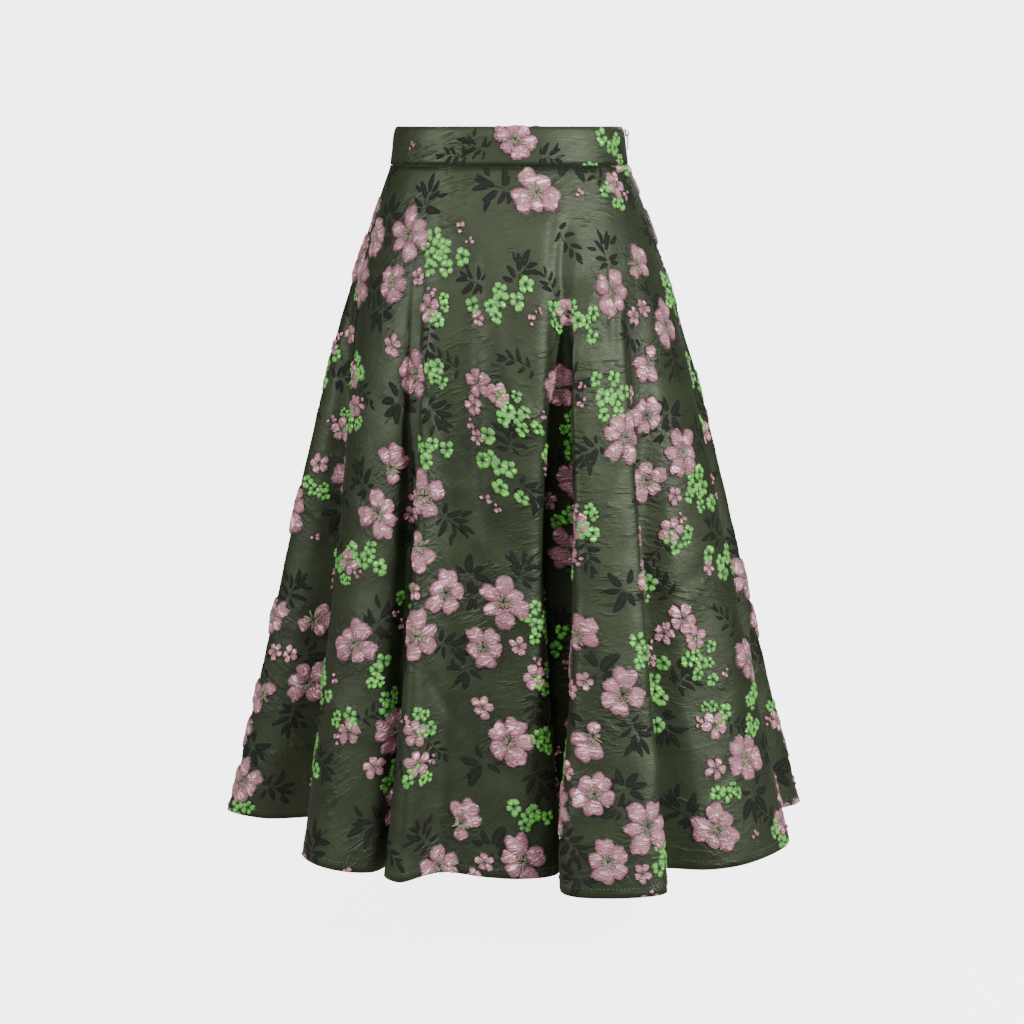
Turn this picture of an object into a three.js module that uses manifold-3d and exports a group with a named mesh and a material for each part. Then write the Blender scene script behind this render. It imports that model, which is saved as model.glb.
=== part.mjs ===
// Circle skirt: a flared midi skirt of puffed satin on a plain waistband, filled out as it is worn.
// Millimetres, +Z up. The front faces -Y and +X is the wearer's left, where the zip runs.
// The origin is the middle of the waistband, half way up it, on the line that the waist holds.
import * as THREE from 'three';
import { mergeVertices } from 'three/addons/utils/BufferGeometryUtils.js';
import Module from 'manifold-3d';

// ---- driving dimensions ----
const BAND_HEIGHT = 40;
const WAIST_HALF_ACROSS = 125;      // the skirt's top edge, side to side
const WAIST_HALF_THROUGH = 95;      // and front to back
const SKIRT_DROP = 705;             // from the waist seam down to the level hem
const SWING_HALF_ACROSS = 316;      // the oval that the hem would fill with no folds in it
const SWING_HALF_THROUGH = 290;
const HANG_ASIDE = 3;               // the hem hangs this far towards the wearer's left
const FOLD_GROWTH = 0.55;           // share of the drop over which a fold grows to its full depth
const FOLD_LEAD = 0.08;             // share of the drop by which it shows ahead of its start
const DRAW_FROM = 0.5;              // share of the drop below which the drawn shoulders open out
const HIP_SWELL = 0.6;              // how much faster the skirt spreads over the hip
const HIP_FADE = 2.4;
const CLOTH = 1.6;                  // puffed satin
const BAND_CLOTH = 2.6;             // satin, stiffener and turning
const HEM_DEPTH = 10;
const HEM_CLOTH = 3.0;              // the cloth and its turning
const SEAM_GAP = 0.3;

const BAND_HALF_HEIGHT = BAND_HEIGHT / 2;
const SEAM_Z = -BAND_HALF_HEIGHT - SEAM_GAP;
const HEM_T = HEM_DEPTH / SKIRT_DROP;

// ---- the folds, anticlockwise from the front left ----
// At the hem a fold has a left shoulder, a crest and a right shoulder, and a valley follows it. "At" is a
// bearing in degrees, 0 at the front and 90 at +X, and "reach" is the distance from the middle. The waist
// columns give the bearings that they grow from on the waist seam. Start is the share of the drop
// where the fold begins. Draw is how far a shoulder and its valley's side stay towards the crest above
// the hem, in millimetres, so that a valley is wide half way down and shuts at the hem.
const FOLD_COLUMNS = ['name', 'leftAt', 'leftReach', 'crestAt', 'crestReach', 'rightAt', 'rightReach',
  'valleyAt', 'valleyReach', 'valleyWidth', 'waistLeft', 'waistRight', 'waistValley', 'start',
  'leftDraw', 'rightDraw'];
const FOLDS = [
  ['front_left', -51.5, 279, -41, 281, -33, 261, -30.3, 228, 13, -83, -43, -37, 0.06, 0, 0],
  ['pinch', -29.8, 261, -24.8, 270, -21, 243, -14.5, 229, 26, -31, -22, -15, 0.04, 12, 0],
  ['centre', -7.5, 233, 2, 237, 11.7, 228, 27.5, 118, 24, -8, 8, 21, 0.13, 0, 10],
  ['front_right', 10.6, 277, 17, 298, 29.6, 311, 34.5, 258, 14, 33, 48, 56, 0.12, 14, 0],
  ['right', 43.5, 293, 52, 314, 65.5, 324, 79, 288, 14, 65, 84, 90, 0.12, 0, 0],
  ['right_side', 86.5, 322, 94, 322, 102, 298, 111, 240, 18, 97, 109, 117, 0.1, 0, 0],
  ['back_right', 118, 290, 127, 311, 139, 299, 148, 236, 22, 124, 141, 149, 0.1, 0, 0],
  ['back_a', 156, 284, 163, 303, 170, 290, 176.5, 238, 16, 157, 167, 173, 0.08, 0, 0],
  ['back_b', 184, 284, 195, 309, 208, 297, 216, 206, 18, 182, 200, 208, 0.1, 0, 0],
  ['back_left', 221.5, 290, 229, 308, 236, 292, 242, 246, 16, 214, 226, 232, 0.07, 0, 0],
  ['left_back', 248, 294, 257, 314, 265, 300, 270.5, 256, 14, 239, 249, 254, 0.1, 0, 0],
  ['left_side', 273, 308, 277.5, 318, 284, 282, 290, 208, 16, 259, 264.5, 270, 0.1, 0, 0],
].map((row) => Object.fromEntries(FOLD_COLUMNS.map((column, i) => [column, row[i]])));
const STATIONS_PER_FOLD = 5;        // left, crest, right and the two sides of the valley
const VALLEY_WAIST_SPREAD = 2.2;    // degrees of waist on each side of a valley's middle
const VALLEY_SHARE = [0.36, 0.64];  // where a valley's two sides lie between its neighbours' shoulders
const STATIONS = FOLDS.length * STATIONS_PER_FOLD;

// The side seams run down the middle of the last fold's valley and of the valley after 'right'.
const VALLEY_MIDDLE = 3.5;
const LEFT_SEAM = (FOLDS.length - 1) * STATIONS_PER_FOLD + VALLEY_MIDDLE;
const RIGHT_SEAM = 4 * STATIONS_PER_FOLD + VALLEY_MIDDLE;

// ---- grids ----
const FRONT_COLUMNS = 84;
const BACK_COLUMNS = 96;
const PANEL_ROWS = [0, 0.04, 0.1, 0.18, 0.27, 0.37, 0.48, 0.6, 0.73, 0.87,
  1 - HEM_T * 1.15, 1 - HEM_T, 1];
const BAND_COLUMNS = 40;

// ---- the waistband's side profile, from its seam to its top edge ----
const BAND_PROFILE = [
  { z: -20, halfAcross: 125.6 },
  { z: -13, halfAcross: 124.9 },
  { z: -4, halfAcross: 123.6 },
  { z: 8, halfAcross: 122.3 },
  { z: 15, halfAcross: 120.8 },
  { z: 20, halfAcross: 118.4 },
];
const THROUGH_LESS = WAIST_HALF_ACROSS - WAIST_HALF_THROUGH;

// ---- zip at the left seam ----
const ZIP_ROWS = 5;                 // panel rows that its tape passes
const TAPE_HALF_WIDTH = 12;
const TAPE_THICKNESS = 0.9;
const TAPE_GAP = 0.45;
const TAPE_TOP = 17;
const TAPE_COLUMNS = 4;
const SLIDER = { width: 5, height: 8, thickness: 1.4, rise: 0.7, z: 12, gap: 0.5, tilt: -0.2 };
const BRIDGE = { width: 1.4, height: 5.4, proud: 3.6, bar: 0.9 };
const PULL = { width: 5, length: 17, thickness: 1, eyeBar: 1, eyeHeight: 5, eyeWidth: 2.6 };
const PIVOT_CLEAR = 0.75;           // from the middle of the eye's bar to the bridge, outwards and down

// ---- small tools ----
const radians = THREE.MathUtils.degToRad;
const polar = (at, reach) => new THREE.Vector2(
  reach * Math.sin(radians(at)), -reach * Math.cos(radians(at)));

function stationTable() {
  const stations = [];
  FOLDS.forEach((fold, i) => {
    const last = i === FOLDS.length - 1;
    const nextLeft = FOLDS[(i + 1) % FOLDS.length].leftAt + (last ? 360 : 0);
    const middle = polar(fold.valleyAt, fold.valleyReach);
    const across = polar(fold.valleyAt + 90, fold.valleyWidth / 2);
    const add = (hem, swingAt, waistAt, drawAt, draw) => stations.push({
      hem, swingAt, waistAt, start: fold.start, draw: polar(drawAt + 90, draw),
    });
    const next = FOLDS[(i + 1) % FOLDS.length];
    add(polar(fold.leftAt, fold.leftReach), fold.leftAt, fold.waistLeft, fold.leftAt, fold.leftDraw);
    add(polar(fold.crestAt, fold.crestReach), fold.crestAt,
      (fold.waistLeft + fold.waistRight) / 2, fold.crestAt, 0);
    add(polar(fold.rightAt, fold.rightReach), fold.rightAt, fold.waistRight,
      fold.rightAt, -fold.rightDraw);
    [-fold.rightDraw, next.leftDraw].forEach((draw, n) => add(
      middle.clone().addScaledVector(across, 2 * n - 1),
      THREE.MathUtils.lerp(fold.rightAt, nextLeft, VALLEY_SHARE[n]),
      fold.waistValley + (2 * n - 1) * VALLEY_WAIST_SPREAD,
      fold.valleyAt, draw,
    ));
  });
  return stations;
}
const TABLE = stationTable();

// Square roots of the steps from station to station, which space the curve (centripetal Catmull-Rom).
const STEPS = TABLE.map((s, i) => Math.sqrt(s.hem.distanceTo(TABLE[(i + 1) % STATIONS].hem)));
const wrap = (i) => ((i % STATIONS) + STATIONS) % STATIONS;

// A closed curve through one number of every station, at station k, which may lie between two.
// Each lap adds its turn, so that bearings go on growing.
function through(read, k, turn = 0) {
  const i = Math.floor(k);
  const u = k - i;
  const value = (j) => read(TABLE[wrap(j)]) + turn * Math.floor(j / STATIONS);
  const [p0, p1, p2, p3] = [value(i - 1), value(i), value(i + 1), value(i + 2)];
  const [d0, d1, d2] = [STEPS[wrap(i - 1)], STEPS[wrap(i)], STEPS[wrap(i + 1)]];
  const leave = ((p1 - p0) / d0 - (p2 - p0) / (d0 + d1) + (p2 - p1) / d1) * d1;
  const arrive = ((p2 - p1) / d1 - (p3 - p1) / (d1 + d2) + (p3 - p2) / d2) * d1;
  return p1 + leave * u + (3 * (p2 - p1) - 2 * leave - arrive) * u * u
    + (2 * (p1 - p2) + leave + arrive) * u * u * u;
}

// A point of the skirt's outside. k runs round it in stations and t from the seam (0) to the hem (1).
// It spreads from the waist oval to a smooth swing oval, and the folds grow out of that to the hem curve.
function skirtPoint(k, t) {
  const waistAt = radians(through((s) => s.waistAt, k, 360));
  const swingAt = radians(through((s) => s.swingAt, k, 360));
  const start = through((s) => s.start, k);
  const spread = t + HIP_SWELL * t * (1 - t) ** HIP_FADE;
  const fold = THREE.MathUtils.smoothstep(t, start - FOLD_LEAD, start - FOLD_LEAD + FOLD_GROWTH);
  const waist = new THREE.Vector2(
    WAIST_HALF_ACROSS * Math.sin(waistAt), -WAIST_HALF_THROUGH * Math.cos(waistAt));
  const swing = new THREE.Vector2(
    SWING_HALF_ACROSS * Math.sin(swingAt), -SWING_HALF_THROUGH * Math.cos(swingAt));
  const hem = new THREE.Vector2(through((s) => s.hem.x, k), through((s) => s.hem.y, k));
  const draw = new THREE.Vector2(through((s) => s.draw.x, k), through((s) => s.draw.y, k));
  hem.addScaledVector(draw, 1 - THREE.MathUtils.smoothstep(t, DRAW_FROM, 1));
  const low = swing.lerp(hem, fold);
  low.x += HANG_ASIDE;
  const p = waist.lerp(low, spread);
  return new THREE.Vector3(p.x, p.y, SEAM_Z - SKIRT_DROP * t);
}

// Its outward normal, and the direction round it, from small steps along both parameters.
function skirtDirections(k, t) {
  const step = 0.002;
  const round = skirtPoint(k + step, t).sub(skirtPoint(k - step, t));
  const down = skirtPoint(k, Math.min(t + step, 1)).sub(skirtPoint(k, Math.max(t - step, 0)));
  const speed = round.length() / (2 * step);
  return { normal: down.cross(round).normalize(), round: round.normalize(), speed };
}

// Columns from k0 to k1, closer where the hem turns.
function foldColumns(k0, k1, count) {
  const samples = (k1 - k0) * 40;
  const longStep = 34;
  const bend = radians(21);
  const cost = [0];
  const at = (i) => skirtPoint(k0 + ((k1 - k0) * i) / samples, 1);
  for (let i = 1; i <= samples; i++) {
    const before = at(i).sub(at(i - 1));
    const after = at(i + 1).sub(at(i));
    cost.push(cost[i - 1] + before.length() / longStep + before.angleTo(after) / bend);
  }
  const columns = [];
  let i = 0;
  for (let n = 0; n <= count; n++) {
    const target = (cost[samples] * n) / count;
    while (i < samples && cost[i + 1] < target) i++;
    const part = i < samples ? (target - cost[i]) / (cost[i + 1] - cost[i]) : 0;
    columns.push(k0 + ((k1 - k0) * Math.min(i + part, samples)) / samples);
  }
  return columns;
}

// A wall between two grids of points, outer[column][row] and inner[column][row], closed round its rim.
// Columns run anticlockwise seen from above and rows run down.
function wall(outer, inner) {
  const columns = outer.length;
  const rows = outer[0].length;
  const positions = [];
  [outer, inner].forEach((grid) => grid.forEach((line) => line.forEach((p) => positions.push(p.x, p.y, p.z))));
  const out = (c, r) => c * rows + r;
  const inn = (c, r) => columns * rows + c * rows + r;
  const index = [];
  const quad = (a, b, c, d) => index.push(a, b, c, a, c, d);
  for (let c = 0; c < columns - 1; c++) {
    for (let r = 0; r < rows - 1; r++) {
      quad(out(c, r), out(c, r + 1), out(c + 1, r + 1), out(c + 1, r));
      quad(inn(c, r), inn(c + 1, r), inn(c + 1, r + 1), inn(c, r + 1));
    }
    quad(out(c, 0), out(c + 1, 0), inn(c + 1, 0), inn(c, 0));
    quad(out(c, rows - 1), inn(c, rows - 1), inn(c + 1, rows - 1), out(c + 1, rows - 1));
  }
  for (let r = 0; r < rows - 1; r++) {
    quad(out(0, r), inn(0, r), inn(0, r + 1), out(0, r + 1));
    quad(out(columns - 1, r), out(columns - 1, r + 1), inn(columns - 1, r + 1), inn(columns - 1, r));
  }
  const geometry = new THREE.BufferGeometry();
  geometry.setAttribute('position', new THREE.Float32BufferAttribute(positions, 3));
  geometry.setIndex(index);
  geometry.computeVertexNormals();
  return geometry;
}

// ---- pieces ----
// One skirt panel, from seam to seam. Its two side edges stand back by half the seam gap.
function skirtPanel(k0, k1, count) {
  const outer = [];
  const inner = [];
  foldColumns(k0, k1, count).forEach((k, c) => {
    const edge = c === 0 ? 1 : c === count ? -1 : 0;
    const points = PANEL_ROWS.map((t) => {
      const { normal, round } = skirtDirections(k, t);
      const p = skirtPoint(k, t).addScaledVector(round, (edge * SEAM_GAP) / 2);
      const thickness = t >= 1 - HEM_T ? HEM_CLOTH : CLOTH;
      return { p, q: p.clone().addScaledVector(normal.setZ(0).normalize(), -thickness) };
    });
    outer.push(points.map((each) => each.p));
    inner.push(points.map((each) => each.q));
  });
  return wall(outer, inner);
}

// A point of the waistband at a bearing of its oval and a height, moved in from its outside.
function bandPoint(at, z, inset) {
  const above = BAND_PROFILE.findIndex((row) => row.z >= z);
  const high = BAND_PROFILE[Math.max(above, 1)];
  const low = BAND_PROFILE[Math.max(above, 1) - 1];
  const across = THREE.MathUtils.mapLinear(z, low.z, high.z, low.halfAcross, high.halfAcross) - inset;
  return new THREE.Vector3(across * Math.sin(at), -(across - THROUGH_LESS) * Math.cos(at), z);
}

// One half of the waistband between two bearings, with a rounded top edge.
function waistbandPanel(from, to) {
  const top = BAND_HALF_HEIGHT;
  const soften = 0.8;
  const heights = [top, top - soften, ...BAND_PROFILE.map((row) => row.z).reverse().slice(1)];
  const gapAngle = SEAM_GAP / 2 / WAIST_HALF_THROUGH;
  const outer = [];
  const inner = [];
  for (let c = 0; c <= BAND_COLUMNS; c++) {
    const at = THREE.MathUtils.lerp(radians(from) + gapAngle, radians(to) - gapAngle, c / BAND_COLUMNS);
    outer.push(heights.map((z, r) => bandPoint(at, z, r === 0 ? soften : 0)));
    inner.push(heights.map((z, r) => bandPoint(at, z, r === 0 ? BAND_CLOTH - soften : BAND_CLOTH)));
  }
  return wall(outer, inner);
}

// The zip's tape, which lies behind the seam from near the band's top down inside the skirt.
function zipTape() {
  const outer = [];
  const inner = [];
  for (let c = 0; c <= TAPE_COLUMNS; c++) {
    const aside = TAPE_HALF_WIDTH * ((2 * c) / TAPE_COLUMNS - 1);
    const bandHeights = [TAPE_TOP, 15, 8, -4, -13, -19];
    const at = radians(90) + aside / WAIST_HALF_THROUGH;
    const inBand = (depth) => bandHeights.map((z) => bandPoint(at, z, BAND_CLOTH + TAPE_GAP + depth));
    const inSkirt = (depth) => PANEL_ROWS.slice(1, ZIP_ROWS).map((t) => {
      const { speed } = skirtDirections(RIGHT_SEAM, t);
      const k = RIGHT_SEAM + aside / speed;
      const { normal } = skirtDirections(k, t);
      return skirtPoint(k, t).addScaledVector(normal.setZ(0).normalize(), -(CLOTH + TAPE_GAP + depth));
    });
    outer.push([...inBand(0), ...inSkirt(0)]);
    inner.push([...inBand(TAPE_THICKNESS), ...inSkirt(TAPE_THICKNESS)]);
  }
  return wall(outer, inner);
}

// Slider: a small plate with a bridge over it for the pull's eye, joined into one body.
function zipSlider(wasm) {
  const solid = (geometry) => {
    geometry.deleteAttribute('normal');
    geometry.deleteAttribute('uv');
    const merged = mergeVertices(geometry, 1e-4);
    return new wasm.Manifold(new wasm.Mesh({
      numProp: 3,
      vertProperties: new Float32Array(merged.attributes.position.array),
      triVerts: new Uint32Array(merged.index.array),
    }));
  };
  const plate = new THREE.BoxGeometry(SLIDER.thickness, SLIDER.width, SLIDER.height);
  plate.translate(0, 0, SLIDER.rise);
  const sides = BRIDGE.height / 2;
  const bow = new THREE.Shape([
    new THREE.Vector2(0, -sides), new THREE.Vector2(BRIDGE.proud - 0.6, -sides),
    new THREE.Vector2(BRIDGE.proud, -sides + 0.8), new THREE.Vector2(BRIDGE.proud, sides - 0.8),
    new THREE.Vector2(BRIDGE.proud - 0.6, sides), new THREE.Vector2(0, sides),
  ]);
  const inside = sides - BRIDGE.bar;
  bow.holes.push(new THREE.Path([
    new THREE.Vector2(SLIDER.thickness / 2, -inside),
    new THREE.Vector2(SLIDER.thickness / 2, inside),
    new THREE.Vector2(BRIDGE.proud - BRIDGE.bar, inside),
    new THREE.Vector2(BRIDGE.proud - BRIDGE.bar, -inside),
  ]));
  const bridge = new THREE.ExtrudeGeometry(bow, { depth: BRIDGE.width, bevelEnabled: false });
  bridge.translate(0, 0, -BRIDGE.width / 2);
  bridge.rotateX(Math.PI / 2);
  const mesh = solid(plate).add(solid(bridge)).getMesh();
  const geometry = new THREE.BufferGeometry();
  geometry.setAttribute('position', new THREE.Float32BufferAttribute(mesh.vertProperties, 3));
  geometry.setIndex(Array.from(mesh.triVerts));
  geometry.computeVertexNormals();
  return geometry;
}

// Pull tab: a flat drop with an eye at its top. Its pivot is the middle of the eye's upper bar.
function zipPull() {
  const half = PULL.width / 2;
  const topY = PULL.eyeBar / 2;
  const drop = new THREE.Shape();
  drop.moveTo(-half + 0.6, topY);
  drop.lineTo(-half, topY - 0.8);
  drop.lineTo(-half * 0.9, -PULL.length * 0.55);
  drop.absarc(0, -PULL.length + half + topY, half, Math.PI, 2 * Math.PI, false);
  drop.lineTo(half * 0.9, -PULL.length * 0.55);
  drop.lineTo(half, topY - 0.8);
  drop.lineTo(half - 0.6, topY);
  const eye = PULL.eyeWidth / 2;
  drop.holes.push(new THREE.Path([
    new THREE.Vector2(-eye, -topY), new THREE.Vector2(eye, -topY),
    new THREE.Vector2(eye, -topY - PULL.eyeHeight), new THREE.Vector2(-eye, -topY - PULL.eyeHeight),
  ]));
  const geometry = new THREE.ExtrudeGeometry(drop, {
    depth: PULL.thickness, bevelEnabled: false, curveSegments: 8,
  });
  geometry.translate(0, 0, -PULL.thickness / 2);
  geometry.rotateX(Math.PI / 2);
  geometry.rotateZ(Math.PI / 2);
  return geometry;
}

// ---- the skirt ----
const wasm = await Module();
wasm.setup();

const satin = () => new THREE.MeshStandardMaterial({ color: 0x3d472f, roughness: 0.5, metalness: 0 });
const tapeCloth = new THREE.MeshStandardMaterial({ color: 0x2b3324, roughness: 0.9, metalness: 0 });
const metal = () => new THREE.MeshStandardMaterial({ color: 0x8d7d72, roughness: 0.35, metalness: 0.9 });

const skirt = new THREE.Group();
function addPiece(name, geometry, material) {
  const mesh = new THREE.Mesh(geometry, material);
  mesh.name = name;
  skirt.add(mesh);
  return mesh;
}

addPiece('skirt_front', skirtPanel(LEFT_SEAM - STATIONS, RIGHT_SEAM, FRONT_COLUMNS), satin());
addPiece('skirt_back', skirtPanel(RIGHT_SEAM, LEFT_SEAM, BACK_COLUMNS), satin());
addPiece('waistband_front', waistbandPanel(-90, 90), satin());
addPiece('waistband_back', waistbandPanel(90, 270), satin());
addPiece('zip_tape', zipTape(), tapeCloth);
const slider = addPiece('zip_slider', zipSlider(wasm), metal());
slider.position.copy(bandPoint(radians(90), SLIDER.z, -SLIDER.gap - SLIDER.thickness / 2));
slider.rotation.y = SLIDER.tilt;
const pivot = new THREE.Vector3(
  BRIDGE.proud - BRIDGE.bar - PIVOT_CLEAR, 0, PIVOT_CLEAR - BRIDGE.height / 2 + BRIDGE.bar);
pivot.applyEuler(slider.rotation).add(slider.position);
addPiece('zip_pull', zipPull(), metal()).position.copy(pivot);

export default skirt;
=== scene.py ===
"""Circle skirt of puffed floral satin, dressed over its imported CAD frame.

Metres, +Z up. The front faces -Y and +X is the wearer's left, where the zip runs. The origin is the
middle of the waistband. Run as a script; it lists its makers in the 3D view's sidebar as well.
"""

import bpy
import numpy as np
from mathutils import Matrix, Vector


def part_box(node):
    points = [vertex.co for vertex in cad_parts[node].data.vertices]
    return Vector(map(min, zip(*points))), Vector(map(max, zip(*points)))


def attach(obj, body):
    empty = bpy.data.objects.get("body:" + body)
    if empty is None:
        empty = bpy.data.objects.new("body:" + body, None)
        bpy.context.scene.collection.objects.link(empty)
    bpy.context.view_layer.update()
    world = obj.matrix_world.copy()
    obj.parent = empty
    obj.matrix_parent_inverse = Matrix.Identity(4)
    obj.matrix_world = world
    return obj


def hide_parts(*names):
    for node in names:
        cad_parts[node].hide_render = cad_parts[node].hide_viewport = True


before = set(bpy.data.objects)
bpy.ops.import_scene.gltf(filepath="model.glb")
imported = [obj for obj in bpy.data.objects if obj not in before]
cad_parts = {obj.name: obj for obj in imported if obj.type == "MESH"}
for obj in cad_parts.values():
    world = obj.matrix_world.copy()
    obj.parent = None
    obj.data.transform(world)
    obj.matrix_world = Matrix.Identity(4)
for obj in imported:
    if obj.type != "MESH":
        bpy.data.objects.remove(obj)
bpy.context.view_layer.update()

bl_info = {
    "name": "Circle skirt",
    "version": (1, 0, 0),
    "blender": (4, 5, 0),
    "location": "View3D > Sidebar > Skirt",
    "description": "Makes the cloth, flowers, sewing and studio of a circle skirt",
    "category": "Object",
}

MM = 0.001
BODY = "skirt"

# The drape, from the same named sizes as the solids, in millimetres
WAIST_HALF_ACROSS = 125.0
WAIST_HALF_THROUGH = 95.0
SWING_HALF_ACROSS = 316.0
SWING_HALF_THROUGH = 290.0
HANG_ASIDE = 3.0
FOLD_GROWTH = 0.55
FOLD_LEAD = 0.08
DRAW_FROM = 0.5
HIP_SWELL = 0.6
HIP_FADE = 2.4
CLOTH = 1.1
SEAM_GAP = 0.3
BAND_HALF_HEIGHT = 20.0
SEAM_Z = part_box("skirt_front")[1].z / MM
HEM_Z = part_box("skirt_front")[0].z / MM
SKIRT_DROP = SEAM_Z - HEM_Z

# One row for each fold, anticlockwise from the front left. At the hem a fold has a left shoulder, a
# crest and a right shoulder, and a valley follows it: a bearing in degrees and a reach from the middle.
# Draw is how far a shoulder stays towards its crest above the hem.
FOLD_COLUMNS = ("left_at", "left_reach", "crest_at", "crest_reach", "right_at", "right_reach",
                "valley_at", "valley_reach", "valley_width", "waist_left", "waist_right",
                "waist_valley", "start", "left_draw", "right_draw")
FOLDS = {
    "front_left": (-51.5, 279, -41, 281, -33, 261, -30.3, 228, 13, -83, -43, -37, 0.06, 0, 0),
    "pinch": (-29.8, 261, -24.8, 270, -21, 243, -14.5, 229, 26, -31, -22, -15, 0.04, 12, 0),
    "centre": (-7.5, 233, 2, 237, 11.7, 228, 27.5, 118, 24, -8, 8, 21, 0.13, 0, 10),
    "front_right": (10.6, 277, 17, 298, 29.6, 311, 34.5, 258, 14, 33, 48, 56, 0.12, 14, 0),
    "right": (43.5, 293, 52, 314, 65.5, 324, 79, 288, 14, 65, 84, 90, 0.12, 0, 0),
    "right_side": (86.5, 322, 94, 322, 102, 298, 111, 240, 18, 97, 109, 117, 0.1, 0, 0),
    "back_right": (118, 290, 127, 311, 139, 299, 148, 236, 22, 124, 141, 149, 0.1, 0, 0),
    "back_a": (156, 284, 163, 303, 170, 290, 176.5, 238, 16, 157, 167, 173, 0.08, 0, 0),
    "back_b": (184, 284, 195, 309, 208, 297, 216, 206, 18, 182, 200, 208, 0.1, 0, 0),
    "back_left": (221.5, 290, 229, 308, 236, 292, 242, 246, 16, 214, 226, 232, 0.07, 0, 0),
    "left_back": (248, 294, 257, 314, 265, 300, 270.5, 256, 14, 239, 249, 254, 0.1, 0, 0),
    "left_side": (273, 308, 277.5, 318, 284, 282, 290, 208, 16, 259, 264.5, 270, 0.1, 0, 0),
}
STATIONS_PER_FOLD = 5
VALLEY_WAIST_SPREAD = 2.2
VALLEY_SHARE = (0.36, 0.64)
STATIONS = len(FOLDS) * STATIONS_PER_FOLD
VALLEY_MIDDLE = 3.5
LEFT_SEAM = (len(FOLDS) - 1) * STATIONS_PER_FOLD + VALLEY_MIDDLE
RIGHT_SEAM = 4 * STATIONS_PER_FOLD + VALLEY_MIDDLE

# The waistband's side profile from its seam to its top edge: height and half width.
BAND_PROFILE = ((-20, 125.6), (-13, 124.9), (-4, 123.6), (8, 122.3), (15, 120.8), (20, 118.4))
THROUGH_LESS = WAIST_HALF_ACROSS - WAIST_HALF_THROUGH


def polar(at, reach):
    """A point of the plan: reach from the middle at a bearing in degrees, 0 at the front."""
    a = np.radians(at)
    return np.array([reach * np.sin(a), -reach * np.cos(a)])


def station_table():
    """Rows of (hem x, hem y, swing bearing, waist bearing, start, draw x, draw y), five for each fold."""
    rows = [dict(zip(FOLD_COLUMNS, row)) for row in FOLDS.values()]
    table = []
    for i, f in enumerate(rows):
        next_left = rows[(i + 1) % len(rows)]["left_at"] + (360 if i == len(rows) - 1 else 0)
        middle = polar(f["valley_at"], f["valley_reach"])
        across = polar(f["valley_at"] + 90, f["valley_width"] / 2)
        waist = (f["waist_left"], (f["waist_left"] + f["waist_right"]) / 2, f["waist_right"])
        draws = (f["left_draw"], 0, -f["right_draw"])
        for part, waist_at, draw in zip(("left", "crest", "right"), waist, draws):
            at = f[part + "_at"]
            table.append((*polar(at, f[part + "_reach"]), at, waist_at, f["start"],
                          *polar(at + 90, draw)))
        draws = (-f["right_draw"], rows[(i + 1) % len(rows)]["left_draw"])
        for side, share, draw in zip((-1, 1), VALLEY_SHARE, draws):
            swing = f["right_at"] + (next_left - f["right_at"]) * share
            waist_at = f["waist_valley"] + side * VALLEY_WAIST_SPREAD
            table.append((*(middle + side * across), swing, waist_at, f["start"],
                          *polar(f["valley_at"] + 90, draw)))
    return np.array(table)


TABLE = station_table()
TURN = np.array([0, 0, 360, 360, 0.0, 0, 0])
STEPS = np.sqrt(np.linalg.norm(np.roll(TABLE, -1, 0)[:, :2] - TABLE[:, :2], axis=1))


def along_stations(k):
    """All the columns at stations k, on a closed centripetal Catmull-Rom curve through the rows."""
    i = np.floor(k).astype(int)
    u = (k - i)[:, None]

    def value(j):
        return TABLE[j % STATIONS] + TURN * (j // STATIONS)[:, None]

    p0, p1, p2, p3 = (value(i + j) for j in (-1, 0, 1, 2))
    d0, d1, d2 = (STEPS[(i + j) % STATIONS][:, None] for j in (-1, 0, 1))
    leave = ((p1 - p0) / d0 - (p2 - p0) / (d0 + d1) + (p2 - p1) / d1) * d1
    arrive = ((p2 - p1) / d1 - (p3 - p1) / (d1 + d2) + (p3 - p2) / d2) * d1
    return (p1 + leave * u + (3 * (p2 - p1) - 2 * leave - arrive) * u ** 2
            + (2 * (p1 - p2) + leave + arrive) * u ** 3)


def smoothstep(x):
    """0 below 0, 1 above 1 and 3x^2 - 2x^3 between."""
    x = np.clip(x, 0, 1)
    return x * x * (3 - 2 * x)


def skirt_surface(k, t):
    """Points [k, t] of the skirt's outside: k runs round in stations, t from the seam (0) to the hem (1).

    The waist oval spreads to a smooth swing oval, and out of that the folds grow to the hem curve.
    """
    row = along_stations(k)
    swing_at, waist_at = np.radians(row[:, 2]), np.radians(row[:, 3])
    waist = np.stack([WAIST_HALF_ACROSS * np.sin(waist_at), -WAIST_HALF_THROUGH * np.cos(waist_at)], 1)
    swing = np.stack([SWING_HALF_ACROSS * np.sin(swing_at), -SWING_HALF_THROUGH * np.cos(swing_at)], 1)
    spread = (t + HIP_SWELL * t * (1 - t) ** HIP_FADE)[None, :, None]
    fold = smoothstep((t[None] - row[:, 4:5] + FOLD_LEAD) / FOLD_GROWTH)[..., None]
    drawn = 1 - smoothstep((t - DRAW_FROM) / (1 - DRAW_FROM))[None, :, None]
    hem = row[:, None, :2] + row[:, None, 5:7] * drawn
    low = swing[:, None] * (1 - fold) + hem * fold + np.array([HANG_ASIDE, 0])
    plan = waist[:, None] * (1 - spread) + low * spread
    z = np.broadcast_to((SEAM_Z - SKIRT_DROP * t)[None, :, None], plan.shape[:2] + (1,))
    return np.concatenate([plan, z], 2)


# Cloth: a panel's flat cut laid on its draped form
LOOKUP_TO_STATION = 60
LOOKUP_ROWS = 180
BAND_LOOKUP = (700, 60)
BEND_SHARE = 0.5        # of a fold's bend, beside its length, in where a grid's columns go
FLAT_ANGLE = 0.01       # a panel with less is a strip


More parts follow.
